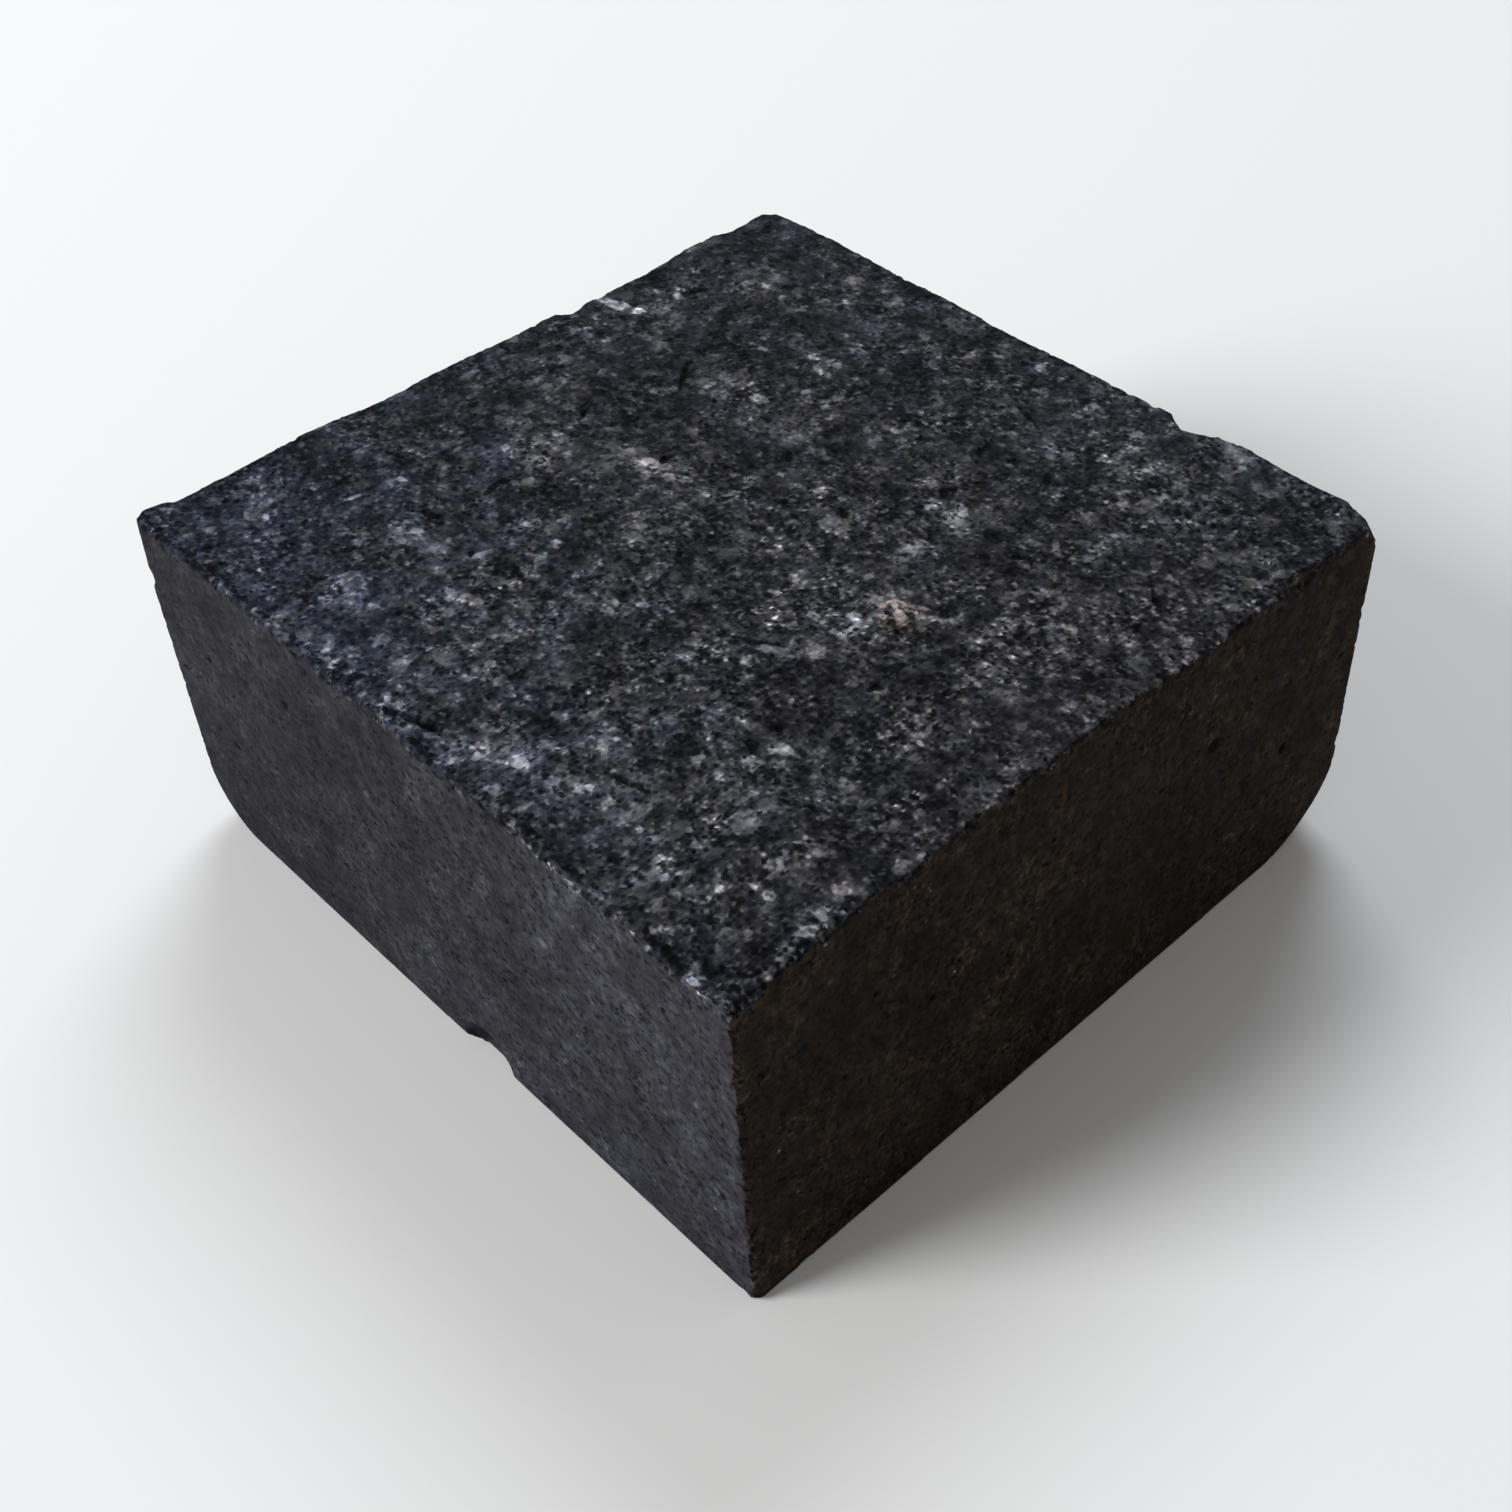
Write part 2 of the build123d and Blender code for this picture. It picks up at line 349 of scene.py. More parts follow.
def bite(x, y, out, wide, deep):
    """A worn spot on one of the tread face's edges, that deep below it."""
    o = np.asarray(out, float) / np.linalg.norm(out)
    base = np.array([x, y, 47.4])
    p = co[grid.near(base, 1.8)]
    p = p[np.hypot(p[:, 0] - x, p[:, 1] - y) < 1.3]
    if not len(p):
        return
    base += o * ((p @ o).max() - base @ o)
    R = cap(wide, deep)
    press(base + o * (R - deep), R, roughness=0.05 if wide < 3 else 0.0, seed=90)


BITES = (  # x, y, outward direction, half-width, depth
    (17.7, 50.0, (0, 1, 1), 0.9, 0.45), (22.0, 49.6, (0, 1, 1), 1.0, 0.45),
    (26.5, 49.7, (0, 1, 1), 1.3, 0.62), (48.2, 49.0, (0.4, 0.7, 1), 6.0, 0.50),
    (41.0, 49.8, (0, 0.8, 1), 5.0, 0.22), (-51.6, 17.3, (-1, 0, 1), 1.4, 0.30),
    (-51.4, 38.4, (-1, 0, 1), 1.8, 0.28), (-52.0, -42.6, (-1, 0, 1), 1.2, 0.30),
    (51.2, -38.3, (1, 0, 1), 0.85, 0.65), (51.1, -36.0, (1, 0, 1), 0.60, 0.50),
    (51.3, -41.6, (1, 0, 1), 0.60, 0.40), (51.0, -26.3, (1, 0, 1), 0.80, 0.45),
    (50.9, -12.5, (1, 0, 1), 0.70, 0.45), (50.8, 2.8, (1, 0, 1), 0.75, 0.45),
    (50.8, 19.0, (1, 0, 1), 0.65, 0.45), (50.7, 33.5, (1, 0, 1), 0.80, 0.50),
)
for x, y, out, w, d in BITES:
    bite(x, y, out, w, d)


# --- pits in the sawn sides, listed where they show and by chance elsewhere
def frame_of(name):
    """A sawn side's outward direction, its level direction and its up."""
    n, d = SIDES[name]
    level = np.cross([0, 0, 1.0], n)
    level /= np.linalg.norm(level)
    up = np.cross(n, level)
    return n, d, level, up


# (x, y, z, radius) of painted shade: in pits and cracks, and in the recess of the near bed edge
PAINTED_SHADE_SPOTS = [(3.0, -50.0, 1.0, 1.5), (4.2, -49.8, 2.4, 1.8), (5.6, -49.7, 3.4, 1.7),
           (6.9, -49.6, 3.8, 1.2)]


def pit(name, s, z, wide, tall, deep, turn=0.0):
    """A pit at s along the side (x or y as it lies) and height z."""
    n, d, level, up = frame_of(name)
    axis = 0 if name in ("near", "far") else 1
    c = np.zeros(3)
    c[axis] = s
    c[2] = z
    other = 1 - axis
    c[other] = (d - n[axis] * s - n[2] * z) / n[other]
    # the pit also gets painted shade
    PAINTED_SHADE_SPOTS.append((*(c - n * deep * 0.3), 0.80 * math.sqrt(wide * tall)))
    ct, st = math.cos(math.radians(turn)), math.sin(math.radians(turn))
    e1, e2 = level * ct + up * st, -level * st + up * ct
    # a ball of radius 1 squashed to (wide, tall, deep / 0.6)
    m = np.array([e1 * wide, e2 * tall, n * deep / 0.6])
    press(c + n * deep * (0.4 / 0.6), 1.0, squash=m, roughness=0.28, seed=77)


NEAR_PITS = (  # x, z, half-width, half-height, depth, turn
    (-24.0, 36.4, 1.0, 0.55, 0.5, 35), (-41.6, 32.5, 0.55, 0.45, 0.4, 20),
    (-49.6, 26.6, 0.8, 0.5, 0.4, 10), (-7.9, 23.9, 0.45, 0.35, 0.4, 0),
    (3.2, 15.3, 1.1, 0.7, 0.6, 40), (4.8, 18.0, 0.6, 0.4, 0.4, 30),
    (36.0, 43.9, 0.45, 0.35, 0.5, 0), (34.9, 27.8, 0.6, 0.35, 0.4, 30),
    (39.1, 18.5, 0.95, 0.45, 0.6, -15), (36.2, 15.9, 0.4, 0.35, 0.4, 0),
    (43.9, 14.9, 0.35, 0.45, 0.4, 0), (-18.8, 14.0, 0.6, 0.5, 0.4, 0),
    (9.0, 27.0, 0.45, 0.3, 0.3, 20), (20.9, 17.5, 0.35, 0.6, 0.35, 0),
    (37.6, 4.6, 0.35, 0.5, 0.35, 0), (-27.5, 40.8, 0.7, 0.5, 0.35, 30),
    (-2.8, 28.6, 0.9, 0.3, 0.25, 25), (13.3, 19.6, 0.6, 0.4, 0.35, 10),
)
RIGHT_PITS = (  # y, z, half-width, half-height, depth, turn
    (-31.9, 34.5, 0.45, 0.4, 0.5, 0), (-18.3, 35.8, 0.9, 0.4, 0.5, 10),
    (-20.5, 30.4, 0.65, 0.4, 0.5, 15), (-23.5, 26.8, 0.8, 0.5, 0.6, 15),
    (-27.2, 20.4, 0.5, 0.6, 0.6, -10), (-46.0, 25.4, 0.35, 0.3, 0.4, 0),
    (-36.5, 25.5, 0.4, 0.35, 0.4, 0), (-4.9, 12.8, 0.5, 0.45, 0.45, 0),
    (-5.5, 36.6, 0.5, 0.35, 0.4, 0), (21.2, 35.2, 1.0, 0.45, 0.5, 0),
    (22.3, 31.0, 1.7, 1.1, 0.45, 10), (28.5, 36.7, 0.5, 0.4, 0.4, 0),
    (24.9, 15.3, 0.5, 0.4, 0.45, 0), (37.0, 20.5, 0.8, 0.9, 0.4, -20),
    (-42.0, 18.0, 0.45, 0.5, 0.4, 0), (-45.5, 17.5, 0.35, 0.3, 0.3, 0),
    (15.0, 27.0, 0.4, 0.35, 0.3, 0), (2.0, 22.0, 0.4, 0.3, 0.3, 0),
    (43.2, 30.0, 0.5, 0.7, 0.35, 0), (-8.0, 4.5, 0.6, 0.4, 0.35, 0),
)
for x, z, w, h, d, t in NEAR_PITS:
    pit("near", x, z, w, h, d, t)
for y, z, w, h, d, t in RIGHT_PITS:
    pit("right", y, z, w, h, d, t)
for i, name in enumerate(("near", "right", "far", "left")):
    g = np.random.default_rng(300 + i)
    for _ in range(70 if i < 2 else 95):
        s = g.uniform(-49, 49)
        z = g.uniform(2, 45.5)
        w = 0.18 + 0.42 * g.random() ** 2.5
        pit(name, s, z, w * g.uniform(0.9, 1.9), w * g.uniform(0.7, 1.1),
            w * g.uniform(0.45, 0.8), g.normal(0, 30))
    for _ in range(5 if i > 1 else 0):
        pit(name, g.uniform(-44, 44), g.uniform(6, 40), g.uniform(0.7, 1.3),
            g.uniform(0.4, 0.8), g.uniform(0.35, 0.6), g.normal(0, 30))
note("pits in the sides")


# --- pits and short cracks in the tread face
def top_pit(x, y, wide, long, deep, turn=0.0):
    z = top_height(x, y) - 0.05
    # the pit also gets painted shade
    PAINTED_SHADE_SPOTS.append((x, y, z - deep * 0.3, 0.16 + 0.95 * math.sqrt(wide * long)))
    ct, st = math.cos(math.radians(turn)), math.sin(math.radians(turn))
    m = np.array([[ct * long, st * long, 0], [-st * wide, ct * wide, 0], [0, 0, deep / 0.6]])
    press((x, y, z + deep * (0.4 / 0.6)), 1.0, squash=m, roughness=0.35, seed=78)


CRACKS = (  # start x, y, end x, y, half-width, depth
    (-30.3, 16.6, -26.2, 12.0, 0.28, 0.55), (-32.4, 1.8, -29.5, -1.2, 0.26, 0.45),
    (-2.2, -48.8, 5.2, -46.2, 0.32, 0.50), (14.4, -15.6, 19.2, -13.0, 0.28, 0.50),
    (-26.9, -15.2, -26.3, -18.4, 0.40, 0.40), (21.0, -38.6, 26.2, -37.0, 0.24, 0.40),
    (36.6, -29.0, 40.6, -27.2, 0.26, 0.40), (-41.0, -22.0, -37.2, -20.6, 0.24, 0.35),
    (6.8, 38.4, 11.0, 36.8, 0.24, 0.35), (-12.6, -24.6, -9.0, -25.8, 0.24, 0.35),
    (40.6, 22.0, 43.6, 19.4, 0.24, 0.35), (-19.0, 33.6, -15.8, 35.0, 0.22, 0.30),
    (46.4, -48.3, 50.2, -46.3, 0.22, 0.40), (50.2, -46.3, 50.9, -43.9, 0.20, 0.45),
)
for x0, y0, x1, y1, w, d in CRACKS:
    g = np.random.default_rng(int(abs(x0 * 31 + y0 * 17)) + 5)
    n = max(3, int(math.hypot(x1 - x0, y1 - y0) / 0.55))
    ang = math.degrees(math.atan2(y1 - y0, x1 - x0))
    for k in range(n + 1):
        t = k / n
        fade = math.sin(math.pi * (0.12 + 0.76 * t))
        off = g.normal(0, 0.12, 2)
        top_pit(x0 + (x1 - x0) * t + off[0], y0 + (y1 - y0) * t + off[1],
                w * fade + 0.08, 0.55, d * fade + 0.08, ang + g.normal(0, 14))
g = np.random.default_rng(411)
for _ in range(300):
    x, y, turn = g.uniform(-51, 51), g.uniform(-49.5, 49.5), g.uniform(0, 180)
    w = 0.14 + 0.30 * g.random() ** 2
    for _ in range(g.integers(1, 4)):
        top_pit(x, y, w, w * g.uniform(1.2, 2.6), w * g.uniform(0.5, 0.9), turn)
        step = w * g.uniform(1.0, 2.4)
        x += math.cos(math.radians(turn)) * step + g.normal(0, 0.12)
        y += math.sin(math.radians(turn)) * step + g.normal(0, 0.12)
        turn += g.normal(0, 35)
note("pits in the tread face")

# the weathering leaves the tread face's own waves and height as they were
inner = top_only[wt[top_only] > 0.5]
step = 1.25
kx = np.floor((co[:, 0] + 60) / step).astype(int)
ky = np.floor((co[:, 1] + 60) / step).astype(int)
drop = np.zeros((96, 96))
count = np.zeros((96, 96))
np.add.at(drop, (kx[inner], ky[inner]), co[inner, 2] - before[inner])
np.add.at(count, (kx[inner], ky[inner]), 1.0)
for _ in range(6):
    for axis in (0, 1):
        drop = drop + np.roll(drop, 1, axis) + np.roll(drop, -1, axis)
        count = count + np.roll(count, 1, axis) + np.roll(count, -1, axis)
drop /= np.maximum(count, 1e-9)
gx, gy = (co[top_only, 0] + 60) / step - 0.5, (co[top_only, 1] + 60) / step - 0.5
ix, iy = np.floor(gx).astype(int), np.floor(gy).astype(int)
fx, fy = gx - ix, gy - iy
lift = ((1 - fx) * (1 - fy) * drop[ix, iy] + fx * (1 - fy) * drop[ix + 1, iy]
        + (1 - fx) * fy * drop[ix, iy + 1] + fx * fy * drop[ix + 1, iy + 1])
co[top_only, 2] -= lift * smooth(44.0, 46.5, co[top_only, 2])
note("lifted by %.3f mm on average" % -lift.mean())

# --- 3. fine roughness along the skin's own directions
write(me, co)
_, no = read(me)
pt = co[top_only]
grain = (0.070 * perlin(pt, 1.25, 51) + 0.055 * perlin(pt, 0.75, 52)
         + 0.060 * np.minimum(0.0, perlin(pt, 2.1, 53)))
rough = np.zeros(len(co))
rough[top_only] += grain * wt[top_only]
rest = np.where(ws > 0.02)[0]
rough[rest] += ws[rest] * (0.020 * perlin(co[rest], 3.4, 61)
                           + 0.014 * perlin(co[rest], 1.4, 62) - 0.010)
co += no * rough[:, None]

# the skin stays inside the solid's box and keeps its flat bed
co[:, 0] = np.clip(co[:, 0], low_mm[0] + 0.002, high_mm[0] - 0.002)
co[:, 1] = np.clip(co[:, 1], low_mm[1] + 0.002, high_mm[1] - 0.002)
co[:, 2] = np.clip(co[:, 2], low_mm[2], high_mm[2] - 0.002)
write(me, co)
note("fine roughness")

# --- 4. fewer triangles, where they matter least
ob = bpy.data.objects.new("work", me)
bpy.context.scene.collection.objects.link(ob)
faces_now = len(me.polygons) * 2
dec = ob.modifiers.new("decimate", "DECIMATE")
dec.decimate_type = "COLLAPSE"
dec.ratio = min(1.0, TRIANGLES / faces_now)
dec.use_collapse_triangulate = True
dg = bpy.context.evaluated_depsgraph_get()
skin = bpy.data.meshes.new_from_object(ob.evaluated_get(dg))
bpy.data.objects.remove(ob)
bpy.data.meshes.remove(me)
co, no = read(skin)
co[:, 0] = np.clip(co[:, 0], low_mm[0] + 0.002, high_mm[0] - 0.002)
co[:, 1] = np.clip(co[:, 1], low_mm[1] + 0.002, high_mm[1] - 0.002)
co[:, 2] = np.clip(co[:, 2], low_mm[2], high_mm[2] - 0.002)
write(skin, co)
note("decimated: %d points, %d faces" % (len(co), len(skin.polygons)))

# --------------------------------------------------------------------------
# Facts per point for the material, and one tidy UV map
# --------------------------------------------------------------------------
n_faces = len(skin.polygons)
n_loops = len(skin.loops)
loop_v = np.empty(n_loops, np.int32)
skin.loops.foreach_get("vertex_index", loop_v)
tri = loop_v.reshape(-1, 3)
centre = co[tri].mean(1)

edge_d = arris_distance(co)
wt = smooth(45.6, 46.9, co[:, 2] + 0.25 * np.maximum(no[:, 2], 0))
wt = wt * smooth(0.25, 0.65, no[:, 2])


def point_attribute(name, values):
    a = skin.attributes.new(name, "FLOAT", "POINT")
    a.data.foreach_set("value", np.ascontiguousarray(values, np.float32))


def point_colour(name, values):
    a = skin.attributes.new(name, "FLOAT_COLOR", "POINT")
    rgba = np.ones((len(values), 4), np.float32)
    rgba[:, :3] = values
    a.data.foreach_set("color", rgba.ravel())


# how far each point of the tread face stands above its neighbourhood
def local_relief(p, weight):
    cell = 0.8
    key = np.floor(p[:, :2] / cell).astype(int)
    key -= key.min(0)
    shape = key.max(0) + 1
    acc = np.zeros(shape)
    num = np.zeros(shape)
    np.add.at(acc, (key[:, 0], key[:, 1]), p[:, 2] * weight)
    np.add.at(num, (key[:, 0], key[:, 1]), weight)
    for _ in range(3):
        for axis in (0, 1):
            acc = acc + np.roll(acc, 1, axis) + np.roll(acc, -1, axis)
            num = num + np.roll(num, 1, axis) + np.roll(num, -1, axis)
    mean = acc / np.maximum(num, 1e-6)
    return p[:, 2] - mean[key[:, 0], key[:, 1]]


# relief also colours the tread face: higher points paler, lower ones darker, partly the stone's
# bruised high points and dirt in its lows, partly painted shade in the lows
relief = local_relief(co, np.where(wt > 0.6, 1.0, 1e-4)) * wt
relief = np.clip(relief, -0.5, 0.35)
on_top = wt > 0.5


def even(f, pick):
    """Noise brought to mean 0 and spread 1 over those points."""
    return (f - f[pick].mean()) / f[pick].std()


h12 = even(fbm(co, 12.0, 2, 201), on_top)
h5 = even(fbm(co, 5.2, 2, 211), on_top)
h2 = even(perlin(co, 2.3, 221), on_top)
tint_noise = even(fbm(co, 8.0, 2, 231), on_top)
g14 = even(fbm(co, 15.0, 2, 241), ~on_top)
g5 = even(fbm(co, 5.0, 2, 251), ~on_top)

# Soft paler areas of the tread face: x, y, half-length, half-width, turn
MISTS = (
    (12.4, 23.4, 3.8, 2.1, 20), (17.6, 22.4, 3.0, 1.8, -20), (-1.6, 23.2, 2.6, 2.0, -40),
    (16.6, 16.2, 3.2, 1.8, -40), (4.0, 10.4, 3.6, 2.4, 30), (8.0, 3.4, 3.0, 2.0, 40),
    (42.0, 16.0, 4.0, 3.0, 30), (30.0, -33.0, 4.4, 3.0, 20), (40.0, -42.0, 3.6, 2.6, 40),
    (42.0, -33.0, 3.4, 2.2, 60), (6.6, -45.0, 3.6, 2.6, 30),
    (-44.0, -14.0, 3.6, 2.4, 10), (-30.0, -8.0, 4.0, 2.8, 0), (-24.0, -30.0, 4.2, 2.2, 20),
    (20.0, -6.0, 3.4, 2.0, 50), (12.8, -4.8, 2.8, 1.8, 30), (15.4, -10.4, 2.8, 2.0, 10),
    (-9.0, -4.6, 4.4, 3.0, 20), (36.0, 4.0, 4.4, 2.6, -10), (-34.0, 36.0, 4.6, 3.2, 30),
    (-14.0, 0.0, 3.8, 2.0, 20), (25.0, -1.0, 3.6, 2.8, 0), (-4.0, 42.0, 4.0, 2.6, 0),
    (28.0, 40.0, 4.0, 2.4, 20), (-12.0, 18.0, 5.0, 3.0, 10), (-44.0, 26.0, 4.0, 3.0, 0),
    (-24.0, -43.0, 5.0, 2.4, 10), (-6.0, -41.0, 4.0, 2.4, 30), (-38.0, -36.0, 4.0, 2.4, 30),
    (41.0, 34.0, 4.6, 2.6, 0),
)
PALE, WHITE, BEIGE, RUST, CHALK = range(5)
# Marks at their own places on the tread face: x, y, half-length, half-width,
# turn, kind
MARKS = (
    (-47.6, 19.8, 3.3, 1.15, 16, CHALK), (-45.2, 20.7, 1.6, 0.9, 30, CHALK),
    (-29.3, 45.5, 1.3, 1.1, 0, BEIGE), (-17.2, 17.6, 1.1, 0.6, -10, PALE),
    (-17.2, -0.6, 0.9, 0.6, 20, BEIGE), (-15.0, -0.2, 1.3, 0.7, 10, BEIGE),
    (-12.9, -1.4, 1.1, 0.7, -20, BEIGE), (-11.2, 0.0, 0.9, 0.7, 0, PALE),
    (-7.6, -4.0, 0.9, 0.5, 20, PALE), (-4.8, -4.6, 0.7, 0.5, 0, PALE),
    (-8.4, -10.5, 1.2, 0.75, 30, BEIGE), (23.0, 0.4, 1.1, 0.8, 20, RUST),
    (24.8, -1.0, 1.3, 0.9, -30, RUST), (26.6, -2.0, 1.1, 0.7, 20, RUST),
    (23.2, -2.2, 0.8, 0.6, 0, RUST), (26.4, 0.6, 0.8, 0.6, 0, RUST),
    (22.0, -0.9, 0.7, 0.6, 0, RUST), (25.6, 1.8, 0.7, 0.5, 20, RUST), (24.4, -3.2, 0.8, 0.5, 0, RUST),
    (27.8, -0.8, 0.7, 0.5, -20, RUST),
    (22.4, -11.2, 1.5, 1.15, 0, BEIGE), (38.8, 10.6, 1.3, 0.8, -20, BEIGE),
    (37.2, 9.8, 0.7, 0.5, 0, PALE), (28.2, 31.8, 0.9, 0.6, 0, BEIGE),
    (26.9, 33.6, 0.7, 0.5, 40, PALE), (-11.6, -31.8, 1.4, 0.9, 20, BEIGE),
    (-10.4, -31.4, 0.8, 0.7, 0, BEIGE), (-4.6, -36.6, 1.2, 0.35, 70, WHITE),
    (31.0, -24.0, 1.2, 0.8, 20, PALE), (30.2, -28.0, 1.0, 0.7, 0, PALE),
    (32.2, -25.4, 0.7, 0.5, 0, PALE), (14.0, -44.2, 1.0, 0.7, 30, BEIGE),
    (3.8, -47.0, 1.8, 0.6, 60, PALE), (-36.6, -30.0, 1.4, 0.4, 60, WHITE),
    (-43.0, -40.4, 1.4, 0.6, 0, PALE), (-41.6, -39.0, 0.9, 0.45, 0, WHITE),
    (34.4, 39.4, 0.9, 0.7, 0, PALE), (33.0, 37.0, 1.0, 0.6, 0, PALE),
    (31.8, 38.6, 0.6, 0.5, 0, PALE), (-3.4, 45.4, 0.9, 0.6, 0, PALE),
    (12.6, 42.0, 0.8, 0.6, 0, PALE), (-19.4, 28.6, 1.0, 0.4, 0, WHITE),
    (-25.8, 25.6, 0.9, 0.45, 20, PALE), (-7.6, 38.0, 1.2, 0.7, -20, PALE),
    (2.0, 9.2, 1.0, 0.8, 20, PALE), (-1.0, 8.4, 0.8, 0.5, 0, PALE),
    (-0.6, 24.2, 0.9, 0.6, 0, BEIGE), (-3.2, 22.0, 1.0, 0.6, -30, PALE),
    (16.0, 18.4, 1.2, 0.6, -40, PALE), (21.4, -4.2, 0.9, 0.6, 30, PALE),
    (17.6, -7.0, 1.0, 0.6, 0, PALE), (48.6, 17.8, 0.9, 0.6, 0, PALE),
    (50.9, -27.4, 1.3, 0.8, 80, PALE), (49.2, -33.6, 1.2, 0.7, 20, BEIGE),
    (50.3, -39.2, 1.5, 0.75, 60, PALE), (50.0, -37.0, 0.9, 0.5, 10, PALE),
    (44.3, -38.3, 0.8, 0.7, 0, WHITE), (51.0, -44.6, 0.9, 0.5, 70, BEIGE),
    (40.4, -47.8, 0.9, 0.6, 20, WHITE), (46.6, -49.9, 1.0, 0.5, 10, WHITE),
    (38.2, -46.9, 0.7, 0.6, 0, PALE), (46.4, -42.8, 0.6, 0.5, 0, PALE),
    (-43.8, 26.8, 0.9, 0.5, -40, PALE), (-36.2, 35.6, 0.8, 0.5, -3, PALE), (-32.6, 35.7, 0.6, 0.4,
    34, PALE), (-31.4, 37.4, 0.6, 0.4, -19, PALE), (-28.8, 35.5, 1.1, 0.35, 18, PALE), (-38.7, 19.4,
    0.6, 0.5, -35, PALE), (-19.0, 28.7, 0.7, 0.6, 2, WHITE), (-17.3, 17.6, 1.0, 0.7, 39, PALE),
    (-27.7, 27.5, 0.6, 0.5, -14, PALE), (-41.7, 12.9, 0.6, 0.5, 23, PALE), (-34.7, 8.4, 0.5, 0.5,
    -30, PALE), (-35.1, 3.7, 0.8, 0.6, 7, PALE), (-12.1, 28.8, 0.7, 0.5, 44, PALE), (-11.0, 25.5,
    0.5, 0.4, -9, PALE), (-27.5, 4.7, 0.9, 0.4, 28, PALE), (-20.5, 35.4, 0.8, 0.4, -25, BEIGE),
    (-25.1, 31.1, 0.7, 0.5, 12, PALE), (-42.5, 33.5, 0.6, 0.4, 49, PALE), (-46.3, 32.3, 0.8, 0.5,
    -4, PALE), (-17.3, -1.7, 0.8, 0.5, 33, BEIGE), (-15.4, -0.6, 0.9, 0.6, -20, BEIGE), (-11.2,
    -0.7, 0.7, 0.5, 17, BEIGE), (-8.7, -10.5, 0.8, 0.7, -36, BEIGE), (-7.5, -4.7, 0.6, 0.4, 1,
    PALE), (-8.2, 4.9, 0.7, 0.5, 38, BEIGE), (-4.3, 8.6, 0.7, 0.5, -15, PALE), (12.2, 13.6, 0.7,
    0.5, 22, PALE), (-12.4, -18.6, 0.7, 0.5, -31, PALE), (1.1, -22.3, 1.0, 0.8, 6, PALE), (2.9,
    -18.8, 1.0, 0.6, 43, PALE), (-3.9, -26.0, 0.5, 0.5, -10, PALE), (-6.5, -28.5, 0.6, 0.5, 27,
    PALE), (11.2, -4.0, 0.8, 0.6, -26, PALE), (6.1, -7.7, 0.8, 0.4, 11, PALE), (19.2, -3.0, 0.8,
    0.5, 48, PALE), (21.6, -7.6, 0.8, 0.7, -5, PALE), (13.3, -44.2, 1.4, 0.8, 32, PALE), (18.3,
    -43.3, 0.8, 0.7, -21, PALE), (21.3, -41.3, 0.7, 0.5, 16, PALE), (29.1, -41.4, 0.5, 0.5, -37,
    WHITE), (30.9, -23.7, 1.2, 0.7, 0, PALE), (30.1, -27.1, 1.4, 0.7, 37, PALE), (40.3, -13.9, 0.7,
    0.35, -16, WHITE), (33.7, -21.5, 0.9, 0.6, 21, PALE), (38.1, -22.7, 0.8, 0.5, -32, PALE), (35.9,
    -44.0, 0.6, 0.6, 5, WHITE), (50.6, -26.6, 1.1, 0.6, 42, BEIGE), (40.5, -41.1, 0.6, 0.5, -11,
    PALE),
)
mist = np.zeros(len(co))
wobble = 0.35 * even(perlin(co, 2.6, 91), on_top)
for x, y, a, b, turn in MISTS:
    dx, dy = co[:, 0] - x, co[:, 1] - y
    ids = np.where((np.abs(dx) < 2.4 * a) & (np.abs(dy) < 2.4 * a) & (wt > 0.05))[0]
    c, s = math.cos(math.radians(turn)), math.sin(math.radians(turn))
    r = np.hypot((dx[ids] * c + dy[ids] * s) / a, (-dx[ids] * s + dy[ids] * c) / b)
    mist[ids] = np.maximum(mist[ids], 1 - smooth(0.4, 1.9, r + wobble[ids]))

# Pale flecks and marks are kept as a field that is 1 in a fleck's middle, 0
# at its edge and below 0 outside; the material roughens that edge.
fleck = np.full(len(co), -1.0)
gain = np.zeros(len(co))
warm = np.zeros(len(co))
cell2 = 1.5
key2 = np.floor(co[:, :2] / cell2).astype(int) + 64
flat2 = key2[:, 0] * 128 + key2[:, 1]
top_ids = np.where(wt > 0.05)[0]
order2 = top_ids[np.argsort(flat2[top_ids], kind="stable")]
sorted2 = flat2[order2]


def beside(x, y, reach):
    lo = (np.floor((np.array([x, y]) - reach) / cell2)).astype(int) + 64
    hi = (np.floor((np.array([x, y]) + reach) / cell2)).astype(int) + 64
    out = []
    for kx in range(lo[0], hi[0] + 1):
        a = np.searchsorted(sorted2, kx * 128 + lo[1])
        b = np.searchsorted(sorted2, kx * 128 + hi[1] + 1)
        if b > a:
            out.append(order2[a:b])
    return np.concatenate(out) if out else np.empty(0, np.int64)


def put(x, y, a, b, turn, power, warmth=0.0):
    ids = beside(x, y, 2.0 * a + 0.3)
    if not len(ids):
        return
    dx, dy = co[ids, 0] - x, co[ids, 1] - y
    c, s = math.cos(math.radians(turn)), math.sin(math.radians(turn))
    f = 1 - np.hypot((dx * c + dy * s) / a, (-dx * s + dy * c) / b)
    better = f > fleck[ids]
    hit = ids[better]
    fleck[hit] = f[better]
    gain[hit] = power
    warm[hit] = warmth


# by chance, thicker where the stone is paler
g = np.random.default_rng(733)
tries = g.uniform((-51.5, -50), (51.5, 50), (5200, 2))
thick = np.exp(0.80 * even(perlin(np.c_[tries, np.full(len(tries), 47.0)], 7.0, 301), slice(None))
               + 0.55 * even(perlin(np.c_[tries, np.full(len(tries), 47.0)], 3.2, 302), slice(None)))
for (x, y), t in zip(tries, thick):
    if g.random() > 0.105 * t:
        continue
    a = 0.30 + 0.55 * g.random() ** 2.6
    put(x, y, a * g.uniform(1.0, 1.7), a * g.uniform(0.65, 1.0), g.uniform(0, 180),
        g.uniform(0.6, 1.25), g.choice([0.0, 0.0, 0.0, 0.1, 0.25]))
spots = g.uniform((-51, -49.5), (51, 49.5), (900, 2))
thick = np.exp(0.9 * even(perlin(np.c_[spots, np.full(len(spots), 47.0)], 9.0, 303), slice(None)))
